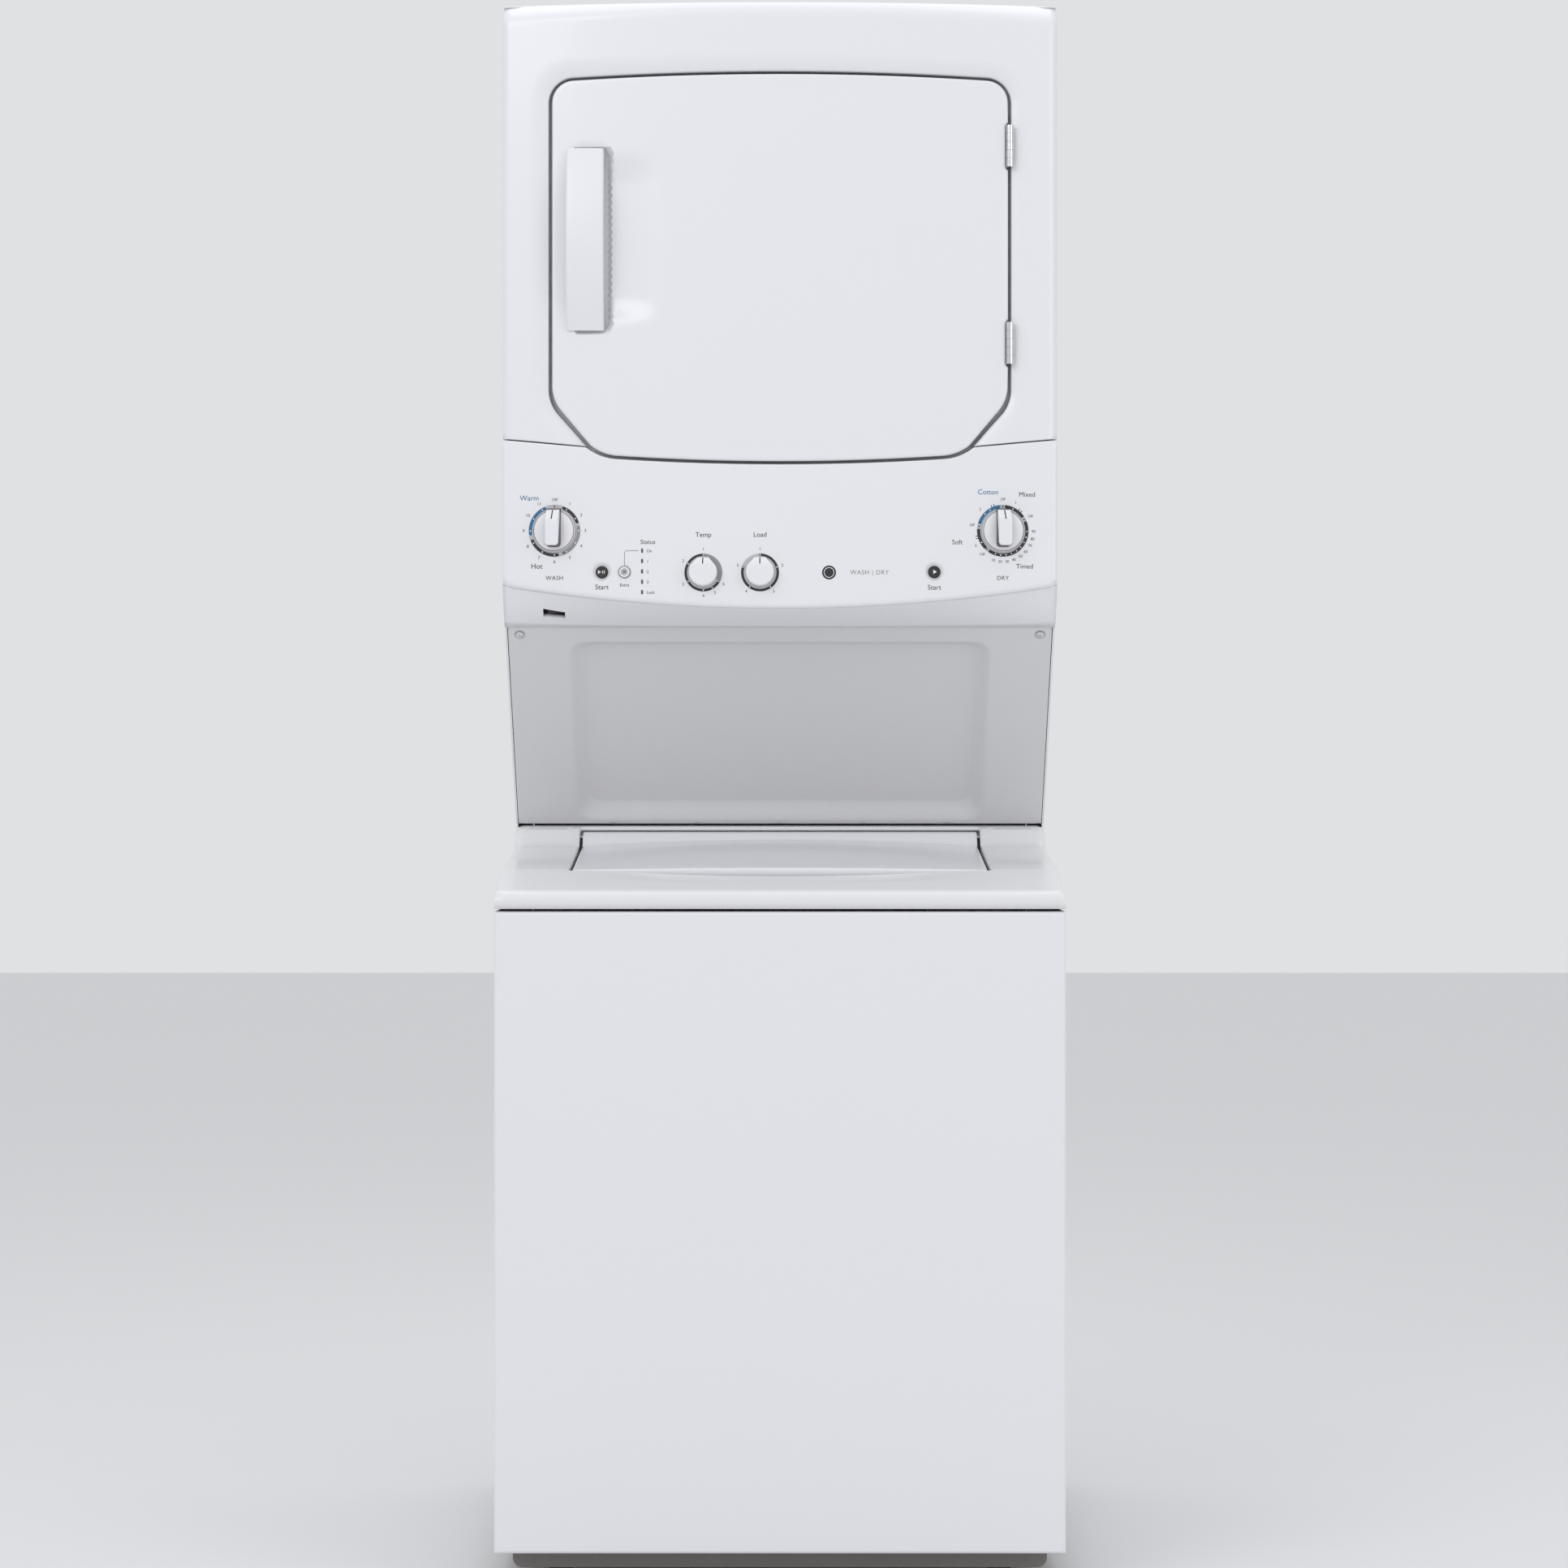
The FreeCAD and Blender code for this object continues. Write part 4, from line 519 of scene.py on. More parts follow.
def doorLoop(grow):
    side, top, foot = door["side"] + grow, door["top"] + grow, door["foot"] - grow
    corner = door["corner"] + grow
    bend = corner * (1 - math.cos(math.pi / 4))
    shoulder = top - 6
    toe = [(201 + 0.3 * grow, foot + 7.3), (219 + 0.5 * grow, foot + 12), (231.8 + 0.7 * grow, foot + 19.8)]
    heel = [(side - 10.5, foot + 63.5), (side - 3.2, foot + 76), (side, foot + 95)]
    head = [(side, shoulder - corner), (side - bend, shoulder - bend), (side - corner, shoulder)]
    right = arcThrough((-toe[0][0], toe[0][1]), (0, foot), toe[0], 80)[40:]
    right += arcThrough(*toe, 8)[1:]
    right += arcThrough(*heel, 10)
    right += arcThrough(*head, 14)
    right += arcThrough(head[2], (0, top), (-head[2][0], head[2][1]), 90)[1:46]
    left = [(-x, z) for x, z in right[1:-1]][::-1]
    return right + left


def roundRect(x0, x1, z0, z1, radius, count=8):
    loop = []
    for cx, cz, turn in ((x1 - radius, z0 + radius, -90), (x1 - radius, z1 - radius, 0),
                         (x0 + radius, z1 - radius, 90), (x0 + radius, z0 + radius, 180)):
        for i in range(count + 1):
            a = math.radians(turn + 90 * i / count)
            loop.append((cx + radius * math.cos(a), cz + radius * math.sin(a)))
    return loop


def topRoll(x, z):      # the front leans back above an arched crease near the top
    crease = front["top"] - front["creaseSide"] + front["creaseRise"] * (1 - (x / front["half"]) ** 2)
    over = np.clip(z - crease, 0, 40)
    return over * 0.2 + over**2 * 0.022


gapLoop = doorLoop(door["gap"] + 0.3)
seamLow = front["seam"] - front["dip"]


def dryerFront():
    half, top = front["half"], front["top"]
    low = seamLow + front["seamGap"]

    def lowOnRight(i):
        x, z = gapLoop[i]
        return z * 10 - x if x > 0 and z > low + 0.5 else math.inf
    start = min(range(len(gapLoop)), key=lowOnRight)
    arch = [p for p in gapLoop[start:] + gapLoop[:start] if p[1] > low + 0.5]
    corner = 11
    outer = [(-half, front["seam"] + front["seamGap"]), (-front["dipX"], low)]
    outer += arch[::-1] + [(front["dipX"], low), (half, front["seam"] + front["seamGap"])]
    outer += [(half - corner + corner * math.cos(a), top - corner + corner * math.sin(a))
              for a in np.linspace(0, math.pi / 2, 8)]
    outer += [(corner - half + corner * math.cos(a), top - corner + corner * math.sin(a))
              for a in np.linspace(math.pi / 2, math.pi, 8)]

    def surface(pts):
        x, z = pts[:, 0], pts[:, 1]
        gap = awayFrom(gapLoop, pts)
        away = np.clip(1 - gap / front["bevel"], 0, 1)
        y = bowed(x) + topRoll(x, z) + front["bevelDrop"] * away**1.8 + roll(gap, 1.5)
        y += roll(half - np.abs(x), front["edge"])
        seamLine = np.where(np.abs(x) > front["dipX"], low + front["dip"] * (np.abs(x) - front["dipX"])
                            / (half - front["dipX"]), low)
        below = np.where(np.abs(x) > front["dipX"] - 4, z - seamLine, 99)
        return y + roll(np.maximum(below, 0), 1.5)
    bm = skin(outer, [], 6, surface, borders=(0.4, 1, 2, 3.5, 5.5, 8, 11, 15, 20))

    def behind(co):
        return co.x, front["back"] if abs(co.x) > half - 1 or co.z > top - 13 else doorPocketY, co.z
    foldBack(bm, [behind])
    return thicken(bmPiece("dryerFrontShell", bm, "cabinet", "white_enamel"), 1.2)


doorPocketY = deep(165)
mouth = (-195, 195, 1395, 1785, 70)


def doorPocket():
    wide = doorLoop(door["gap"] + 1)
    bm = skin(wide, [roundRect(*mouth)], 16, lambda pts: np.full(len(pts), doorPocketY), borders=())
    foldBack(bm, [toY(doorPocketY + 2.5)], lambda co: abs(co.x) < 200 and 1390 < co.z < 1790)
    foldBack(bm, [toY(doorPocketY - 6.5)], lambda co: co.y < doorPocketY + 1 and co.z < seamLow)
    return thicken(bmPiece("doorPocket", bm, "cabinet", "white_enamel"), -1.2)


def doorSkin():
    x0, x1, z0, z1 = door["cup"]
    cupLoop = roundRect(x0, x1, z0, z1, 12)
    midZ, halfZ = (z0 + z1) / 2, (z1 - z0) / 2

    def surface(pts):
        x, z = pts[:, 0], pts[:, 1]
        y = bowed(x) + roll(awayFrom(doorOutline, pts), door["edge"])
        away = awayFrom(cupLoop, pts)
        deepIn = np.where(inside(cupLoop, pts), smooth((away + 1.5) / 6), smooth((1.5 - away) / 6))
        reach = np.clip((door["dishEnd"] - x) / (door["dishEnd"] - x1), 0, 1)
        upright = np.clip(1 - ((z - midZ) / (halfZ - 6)) ** 2, 0, 1)
        dish = door["dishDeep"] * smooth(reach * 1.05) * smooth(upright * 1.7) * (x > x1 - 12)
        return y + np.maximum(door["cupDeep"] * deepIn, dish)
    bm = skin(doorOutline, [], 4.5, surface)
    foldBack(bm, [toY(door["back"])])
    return thicken(bmPiece("doorSkin", bm, "dryer_door", "white_enamel"), 1.2)


def notched(loop):      # the door's edge is cut back beside each hinge
    side, notch = door["side"], door["notchX"]
    at = max(i for i, p in enumerate(loop) if abs(p[0] - side) < 0.5 and p[1] < 1600)
    cuts = []
    for low in door["hingeLows"]:
        cuts += [(side, low - 4), (notch, low - 1), (notch, low + door["hingeLong"] + 1),
                 (side, low + door["hingeLong"] + 4)]
    return loop[:at + 1] + cuts + loop[at + 1:]


doorOutline = notched(doorLoop(-0.4))


def handleBar():
    # A bowed bar, its section a rounded rectangle.
    low, high = boxMm("door_handle")
    wide, thick, bow, soft = (high.x - low.x), 9, 20, 3.6
    midX, midZ, halfZ = (low.x + high.x) / 2, (low.z + high.z) / 2, (high.z - low.z) / 2
    base = bowed(midX)
    section = roundRect(-wide / 2, wide / 2, -thick / 2, thick / 2, soft, 5)
    rows, count = [], 60
    for i in range(count + 1):
        t = -1 + 2 * i / count
        z = midZ + halfZ * t
        out = base - bow * (1 - t**2) - 1.5 + thick / 2
        lean = math.atan2(2 * bow * t, halfZ)
        rows.append([(midX + u, out + v * math.cos(lean), z - v * math.sin(lean)) for u, v in section])
    rows = [row + row[:1] for row in rows]
    verts, faces = gridSheet(rows)
    width = len(rows[0])
    faces.append(tuple(range(width - 1))[::-1])
    faces.append(tuple(count * width + i for i in range(width - 1)))
    bar = addPiece("handleBar", verts, faces, "dryer_door", "white_plastic")
    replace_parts(bar, "door_handle")


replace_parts(dryerFront(), "dryer_front_panel")
doorPocket()
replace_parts(doorSkin(), "door_outer_panel")
handleBar()
print("dryer front and door")

# The console with its dials and keys.

console = {
    "foot": 1173, "footRise": 29, "footMid": 118, "footBow": 36, "topZ": 1384, "edge": 6, "side": 4,
    "slot": (-291, -264, 168, 180), "wall": 2,
}
controls = {
    "washer_cycle_knob": {"at": (-275.6, 1269), "radius": 26, "body": "washer_cycle_dial"},
    "dryer_cycle_knob": {"at": (272.4, 1269), "radius": 26, "body": "dryer_cycle_dial"},
    "temperature_knob": {"at": (-93.2, 1217), "radius": 18, "body": "temperature_dial"},
    "load_size_knob": {"at": (-24.2, 1217), "radius": 18, "body": "load_size_dial"},
    "washer_start_button": {"at": (-217.3, 1218), "radius": 7.4, "body": "washer_start_key"},
    "rinse_button": {"at": (-189.5, 1218), "radius": 7.4, "body": "rinse_key"},
    "dryer_start_button": {"at": (188.3, 1218), "radius": 7.4, "body": "dryer_start_key"},
}


def consoleFoot(x):
    return console["foot"] + console["footRise"] * (x / front["half"]) ** 2


def consoleY(x, z):
    share = (x / front["half"]) ** 2
    low, high = deep(console["footMid"] + console["footBow"] * share), bowed(x)
    return high + (low - high) * (console["topZ"] - z) / (console["topZ"] - consoleFoot(x))


def circle(x, z, radius, count=24):
    return [(x + radius * math.cos(math.tau * i / count), z + radius * math.sin(math.tau * i / count))
            for i in range(count)]


def consoleShell():
    half, low = front["half"], seamLow
    lower = sorted(p for p in gapLoop if p[1] < low)
    topLine = [(-half, consoleHigh.z), (-front["dipX"], low), *lower,
               (front["dipX"], low), (half, consoleHigh.z)]
    foot = [(x, consoleFoot(x)) for x in np.linspace(half, -half, 80)[::-1]]
    isDial = {name: spec["radius"] > 8 for name, spec in controls.items()}
    holes = [circle(*spec["at"], 3.4 if isDial[name] else spec["radius"] + 0.35, 16 if isDial[name] else 36)
             for name, spec in controls.items()]
    dishes = [controls[name]["at"] for name in ("washer_start_button", "dryer_start_button")]

    def surface(pts):
        x, z = pts[:, 0], pts[:, 1]
        y = consoleY(x, z) + roll(z - consoleFoot(x), console["edge"]) + roll(half - np.abs(x), console["side"])
        y += roll(awayFrom(topLine, pts, False), 1.4)
        for cx, cz in dishes:
            y += 1.5 * (1 - smooth((np.hypot(x - cx, z - cz) - 8) / 4.8))
        return y
    bm = skin(foot + topLine[::-1], holes, 7, surface, borders=(0.4, 1, 2, 3.3, 4.8, 6.5),
              extra=[(place, (8.6, 9.6, 10.6, 11.6, 12.6, 13.8)) for place in dishes])
    back = consoleHigh.y

    def atFoot(co):
        return co.z < consoleFoot(co.x) + 0.3 and abs(co.x) < half - 0.01

    def onSide(co):
        return abs(co.x) > half - 0.3
    foldBack(bm, [toY(back)], onSide)
    foldBack(bm, [lambda co: (co.x, co.y + 3, co.z)],
             lambda co: co.y < back - 1 and 1205 < co.z < 1275 and not onSide(co) and not atFoot(co))
    foldBack(bm, [toY(doorPocketY - 3)], lambda co: co.z > 1340 and not onSide(co) and co.y < doorPocketY - 4)
    face = thicken(bmPiece("consoleFace", bm, "cabinet", "white_plastic"), console["wall"])
    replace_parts(face, "control_console")


def consoleUnderside():
    # The strip below, seen from the front, leaning back to the stand.
    half, low = front["half"], consoleLow.z
    x0, x1, r0, r1 = console["slot"]
    xs = sorted(set(np.linspace(-half, half, 86)) | {x0, x1})
    rows = []

    def strip(x, share):
        startY = consoleY(x, consoleFoot(x)) + console["edge"]
        y = startY + (consoleHigh.y - startY) * share
        z = consoleFoot(x) + (low - consoleFoot(x)) * (share + 0.12 * math.sin(math.pi * share))
        return (x, y, z)

    def shareAt(x, depth):
        startY = consoleY(x, consoleFoot(x)) + console["edge"]
        return (deep(depth) - startY) / (consoleHigh.y - startY)
    for x in xs:
        a, b = shareAt(x, r0), shareAt(x, r1)
        marks = [0, a * 0.12, a * 0.3, a * 0.5, a * 0.75, a, (a + b) / 2, b, (b + 1) / 2, 1]
        rows.append([strip(x, share) for share in marks])
    verts, faces = gridSheet(rows)
    width = len(rows[0])
    inSlot = {i for i, x in enumerate(xs) if x0 - 0.01 <= x < x1 - 0.01}
    faces = [f for f in faces if not (f[0] // width in inSlot and f[0] % width in (5, 6))]
    bm = bmesh.new()
    made = [bm.verts.new(v) for v in verts]
    for f in faces:
        bm.faces.new([made[i] for i in f])
    foldBack(bm, [lambda co: (co.x, co.y, co.z + 5)],
             lambda co: x0 - 0.5 < co.x < x1 + 0.5 and deep(r0) - 1 < co.y < deep(r1) + 1)
    bmesh.ops.delete(bm, geom=[v for v in bm.verts if not v.link_faces], context="VERTS")
    bm.normal_update()
    if sum(f.normal.z * f.calc_area() for f in bm.faces) > 0:
        bmesh.ops.reverse_faces(bm, faces=bm.faces[:])
    thicken(bmPiece("consoleUnderside", bm, "cabinet", "white_plastic"), 2)
    tray = bmesh.new()
    bmesh.ops.create_cube(tray, size=1)
    mid = strip((x0 + x1) / 2, shareAt((x0 + x1) / 2, (r0 + r1) / 2))
    for v in tray.verts:
        v.co = (mid[0] + v.co.x * (x1 - x0 - 7) + 2, mid[1] + v.co.y * 7, mid[2] + 3.6 + v.co.z * 3.4)
    bmesh.ops.bevel(tray, geom=tray.edges[:], offset=0.8, segments=3, affect="EDGES")
    bmPiece("slotCatch", tray, "cabinet", "black_plastic")


consoleShell()
consoleUnderside()
print("console")


def dialFrame(x, z):      # right, up and outward at a place on the console, in millimetres
    slopeX = (consoleY(x + 1, z) - consoleY(x - 1, z)) / 2
    slopeZ = (consoleY(x, z + 1) - consoleY(x, z - 1)) / 2
    out = Vector((slopeX, -1, slopeZ)).normalized()
    up = Vector((0, slopeZ, 1)).normalized()
    up = (up - out * up.dot(out)).normalized()
    right = up.cross(out)
    matrix = Matrix((right, up, out)).transposed().to_4x4()
    matrix.translation = Vector((x, consoleY(x, z), z))
    return matrix


def capPiece(name, body, frameAt, loop, height, base, step, edge, flare):
    # A raised cap on a dial: its outline in the dial's plane, its top by height(points).
    def topOf(pts):
        return height(pts) - roll(awayFrom(loop, pts), edge)

    def local(point, value):
        return frameAt @ Vector((point[0], point[1], value))
    bm = skin(loop, [], step, topOf, borders=(0.15, 0.4, 0.8, 1.4), place=local)
    away = frameAt.inverted()

    def toBase(co):
        spot = away @ co
        return frameAt @ Vector((spot.x * flare, spot.y * flare, base))
    foldBack(bm, [toBase])
    return bmPiece(name, bm, body, "white_plastic")


def strip2d(width, v0, v1, height, lift, frameAt):      # a printed line up the middle of a cap
    count = 14
    verts, faces = [], []
    for i in range(count + 1):
        v = v0 + (v1 - v0) * i / count
        for u in (-width / 2, width / 2):
            verts.append(frameAt @ Vector((u, v, float(height(np.array([[u, v]]))[0]) + lift)))
    for i in range(count):
        faces.append((2 * i, 2 * i + 1, 2 * i + 3, 2 * i + 2))
    return verts, faces


def cycleKnob(node):
    spec = controls[node]
    frameAt = dialFrame(*spec["at"])
    profile = [(0.01, 0.7), (25.3, 0.7), (25.9, 1.2), (26, 2.4), (25.8, 3.6), (25.2, 4.6), (24.2, 5.1),
               (12, 5.6), (0.01, 5.7)]
    skirt = placed(lathe(profile, 96), frameAt)
    disc = addPiece(node + "_skirt", *skirt, spec["body"], "white_plastic", sharp=50)
    half, tail, nose, soft, floor = 8.2, -15, 25.2, 4, 4.9

    def height(pts):
        ramp = np.clip(pts[:, 1] - 13, 0, None)
        return 20.3 - 0.86 * np.where(ramp < 2, ramp**2 / 4, ramp - 1)
    left = [(-half + soft - soft * math.cos(a), tail - soft * math.sin(a))
            for a in np.linspace(0.1, math.pi / 2, 6)]
    right = [(half - soft + soft * math.sin(a), tail - soft * math.cos(a))
             for a in np.linspace(0, math.pi / 2 - 0.1, 6)]
    loop = [(-half, nose), (-half, tail), *left, *right, (half, tail), (half, nose)]
    capPiece(node + "_grip", spec["body"], frameAt, loop, height, 4.6, 1.5, 1.3, 1.07)
    line = strip2d(1.5, 24.4, 13.2, height, 0.12, frameAt)
    addPiece(node + "_line", *line, spec["body"], "black_plastic")
    # A thin dark band on the skirt's rounded top edge: painted shade for the shadow line round the skirt.
    grooveShade = placed(lathe([(24.9, 5.05), (25.4, 4.8)], 96), frameAt)
    addPiece(node + "_grooveShade", *grooveShade, spec["body"], "kick_grey")
    # A dark band round the grip's sides: painted shade over the grip's white side walls.
    wall, count = [], len(loop)
    for share in (0, 0.82):
        for u, v in loop:
            tall = floor + share * (float(height(np.array([[u, v]]))[0]) - floor)
            grow = 1.07 - 0.055 * share
            wall.append(frameAt @ Vector((u * grow + math.copysign(0.12, u), v * grow, tall)))
    faces = [(i, (i + 1) % count, count + (i + 1) % count, count + i) for i in range(count)]
    side = addPiece(node + "_gripWallShade", wall, faces, spec["body"], "kick_grey")
    recolour(side, "gripWallShadeGrey")
    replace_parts(disc, node)


def smallKnob(node):
    spec = controls[node]
    frameAt = dialFrame(*spec["at"])
    radius, peak, halfPeak, shoulder = 16.9, 17.9, 6.8, math.radians(28)
    turns = np.linspace(shoulder, -math.pi - shoulder, 60)[::-1]
    loop = [(radius * math.cos(a), radius * math.sin(a)) for a in turns]
    loop += [(halfPeak, peak), (-halfPeak, peak)]

    def height(pts):
        ramp = np.clip(pts[:, 1] - 8.8, 0, None)
        return 14.6 - 0.62 * np.where(ramp < 1, ramp**2 / 2, ramp - 0.5) - 0.0016 * (pts[:, 0] ** 2)
    cap = capPiece(node + "_cap", spec["body"], frameAt, loop, height, 0.7, 1.6, 1.1, 1.02)
    line = strip2d(1.4, 17.2, 9.4, height, 0.12, frameAt)
    addPiece(node + "_line", *line, spec["body"], "black_plastic")
    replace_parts(cap, node)


def button(node, slotName):
    spec = controls[node]
    frameAt = dialFrame(*spec["at"])
    radius = spec["radius"]
    profile = [(0.01, -3), (radius - 0.9, -3), (radius - 0.9, 0.3), (radius - 0.1, 1), (radius - 0.15, 1.8),
               (radius - 0.6, 2.25), (radius - 1.2, 2.4), (radius - 2.5, 2.3), (3, 2.0), (0.01, 1.95)]
    cap = addPiece(node + "_cap", *placed(lathe(profile, 56), frameAt), spec["body"], slotName, sharp=50)
    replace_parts(cap, node)


for node in ("washer_cycle_knob", "dryer_cycle_knob"):
    cycleKnob(node)
for node in ("temperature_knob", "load_size_knob"):
    smallKnob(node)


def keyIcon(name, node, shapes, slotName, lift):
    frameAt = dialFrame(*controls[node]["at"])
    parts = [([frameAt @ Vector((u, v, lift)) for u, v in points], faces) for points, faces in shapes]
    addPiece(name, *joinLists(parts), controls[node]["body"], slotName)


def polygon(points):
    return points, [tuple(range(len(points)))]


def ring(radius, width, count=48, at=(0, 0)):
    points = circle(*at, radius - width / 2, count) + circle(*at, radius + width / 2, count)
    return points, [(i, (i + 1) % count, count + (i + 1) % count, count + i) for i in range(count)]


def petals():
    shapes = []
    for i in range(6):
        turn = math.radians(60 * i + 30)
        centre = (2.65 * math.cos(turn), 2.65 * math.sin(turn))
        shapes.append(ring(1.3, 0.45, 18, centre))
    shapes.append(polygon(circle(0, 0, 0.75, 15)))
    return shapes


button("washer_start_button", "black_plastic")
button("dryer_start_button", "black_plastic")
button("rinse_button", "white_plastic")
pauseBars = [polygon([(u, 1.9), (u, -1.9), (u + 1, -1.9), (u + 1, 1.9)]) for u in (0.9, 2.9)]
keyIcon("washerKeyIcon", "washer_start_button",
        [polygon([(-4.4, 2.5), (-4.4, -2.5), (-0.4, 0)]), *pauseBars], "splash_grey", 2.45)
keyIcon("dryerKeyIcon", "dryer_start_button",
        [polygon([(-1.6, 2.7), (-1.6, -2.7), (2.7, 0)])], "white_enamel", 2.45)
keyIcon("rinseKeyIcon", "rinse_button", petals() + [ring(6.7, 0.5)], "black_plastic", 2.5)
print("dials and buttons")

# The printing on the console.

lights = (-168, 1244, 12.65)      # the top light's place and the step down to the next
prints = {"inkBlack": [], "inkBlue": [], "inkGrey": [], "inkDeepGrey": [], "inkWhite": []}


def onConsole(points, lift):
    return [(x, consoleY(x, z) - lift, z) for x, z in points]


def polar(at, radius, turn):      # turns run clockwise from the top, in degrees
    a = math.radians(turn)
    return at[0] + radius * math.sin(a), at[1] + radius * math.cos(a)


def arcBand(ink, at, inner, outer, start, end, lift=0.16, rounded=True):
    # A band round a dial, its ends rounded or square.
    mid, wide = (inner + outer) / 2, (outer - inner) / 2
    count = max(4, int(abs(end - start) / 3))
    points = []
    for i in range(count + 1):
        turn = start + (end - start) * i / count
        points += [polar(at, inner, turn), polar(at, outer, turn)]
    faces = [(2 * i, 2 * i + 1, 2 * i + 3, 2 * i + 2) for i in range(count)]
    if rounded:
        for turn in (start, end):
            first = len(points)
            points += circle(*polar(at, mid, turn), wide, 16)
            faces.append(tuple(range(first, first + 16)))
    prints[ink].append((onConsole(points, lift), faces))


def dot(ink, x, z, radius, lift=0.22):
    prints[ink].append((onConsole(circle(x, z, radius, 16), lift), [tuple(range(16))]))


def bar(ink, x, z, wide, tall, lift=0.16):
    points = [(x - wide / 2, z - tall / 2), (x + wide / 2, z - tall / 2), (x + wide / 2, z + tall / 2),
              (x - wide / 2, z + tall / 2)]
    prints[ink].append((onConsole(points, lift), [(0, 1, 2, 3)]))


def words(ink, text, x, z, size, align="CENTER", lift=0.16, spread=1.0):
    curve = bpy.data.curves.new("words", "FONT")
    curve.body = text
    curve.size = size
    curve.align_x = align
    curve.align_y = "CENTER"
    curve.space_character = spread
    curve.resolution_u = 3
    holder = bpy.data.objects.new("words", curve)
    scene.collection.objects.link(holder)
    mesh = holder.evaluated_get(bpy.context.evaluated_depsgraph_get()).to_mesh()
    points = [(x + v.co.x, z + v.co.y) for v in mesh.vertices]
    faces = [tuple(p.vertices) for p in mesh.polygons]
    prints[ink].append((onConsole(points, lift), faces))
    bpy.data.objects.remove(holder)
    bpy.data.curves.remove(curve)


def washerDial():
    at = controls["washer_cycle_knob"]["at"]
    arcBand("inkGrey", at, 25, 32, 0, 360, 0.1, False)
    for ink, start, end in (("inkBlack", 22, 69), ("inkDeepGrey", 82, 158), ("inkBlack", 173, 246),
                            ("inkBlue", 263, 336)):
        arcBand(ink, at, 27.8, 31.6, start, end)
    for i in range(1, 12):
        dot("inkWhite", *polar(at, 29.7, 30 * i), 0.85)
    dot("inkBlack", *polar(at, 29.7, 0), 1)
    words("inkBlack", "Off", *polar(at, 38, 0), 5.2)
    for i in range(1, 12):
        words("inkBlack", str(i), *polar(at, 38, 30 * i), 5.4)
    words("inkBlue", "Warm", at[0] - 31, at[1] + 40, 9)
    words("inkBlack", "Hot", at[0] - 22, at[1] - 43.5, 9)
    words("inkBlack", "WASH", at[0], at[1] - 58, 7.2, spread=1.1)


def dryerDial():
    at = controls["dryer_cycle_knob"]["at"]
    arcBand("inkGrey", at, 25, 32, 0, 360, 0.1, False)
    bands = [("inkBlack", 8, 53), ("inkBlack", 70, 212), ("inkBlack", 227, 271), ("inkBlue", 289, 351)]
    for ink, start, end in bands:
        arcBand(ink, at, 27.8, 31.6, start, end)
    for turn in (25, 91, 105, 118, 132, 145, 159, 172, 185, 198, 241, 313, 328):
        dot("inkWhite", *polar(at, 29.7, turn), 0.8)
    for turn in (0, 62, 221, 280):
        dot("inkBlack", *polar(at, 29.7, turn), 1)
        words("inkBlack", "Off", *polar(at, 38.5, turn), 4.6)
    for turn in (38, 44, 253, 258, 335, 341):
        arcBand("inkBlue" if turn > 300 else "inkBlack", at, 31, 34.5, turn - 0.8, turn + 0.8, 0.17, False)
    for turn, minutes in zip((91, 105, 118, 132, 145, 159, 172, 185, 198), range(90, 0, -10)):
        words("inkBlack", str(minutes), *polar(at, 38, turn), 4.8)
    for turn, label in ((25, "1"), (241, "2"), (313, "3")):
        words("inkBlack", label, *polar(at, 38, turn), 5)
    words("inkBlue", "Cotton", at[0] - 18, at[1] + 47, 8.6)
    words("inkBlack", "Mixed", at[0] + 30, at[1] + 44.5, 8.2)
    words("inkBlack", "Soft", at[0] - 56, at[1] - 14.5, 8.2)
    words("inkBlack", "Timed", at[0] + 27, at[1] - 43.5, 8.2)
    words("inkBlack", "DRY", at[0], at[1] - 58, 7.2, spread=1.1)


def smallDials():
    at = controls["temperature_knob"]["at"]
    arcBand("inkGrey", at, 16, 23.2, 0, 360, 0.1, False)
    arcBand("inkDeepGrey", at, 16, 23, 4, 116, 0.13, False)
    arcBand("inkBlack", at, 20, 23.1, 120, 360, rounded=False)
    for turn in (0, 300, 240, 180, 150, 120):
        dot("inkBlack", *polar(at, 21.5, turn), 1.6, 0.18)
        dot("inkWhite", *polar(at, 21.5, turn), 0.85)
    for i, turn in enumerate((0, 300, 240, 180, 150, 120)):
        words("inkBlack", str(i + 1), *polar(at, 28.5, turn), 5)
    words("inkBlack", "Temp", at[0], at[1] + 46, 8.4)
    at = controls["load_size_knob"]["at"]
    arcBand("inkGrey", at, 16, 23.2, 0, 360, 0.1, False)
    arcBand("inkBlack", at, 20, 23.1, 0, 288, rounded=False)
    for i in range(5):
        dot("inkBlack", *polar(at, 21.5, 72 * i), 1.6, 0.18)
        dot("inkWhite", *polar(at, 21.5, 72 * i), 0.85)
        words("inkBlack", str(i + 1), *polar(at, 28.5, 72 * i), 5)
    words("inkBlack", "Load", at[0], at[1] + 46, 8.4)


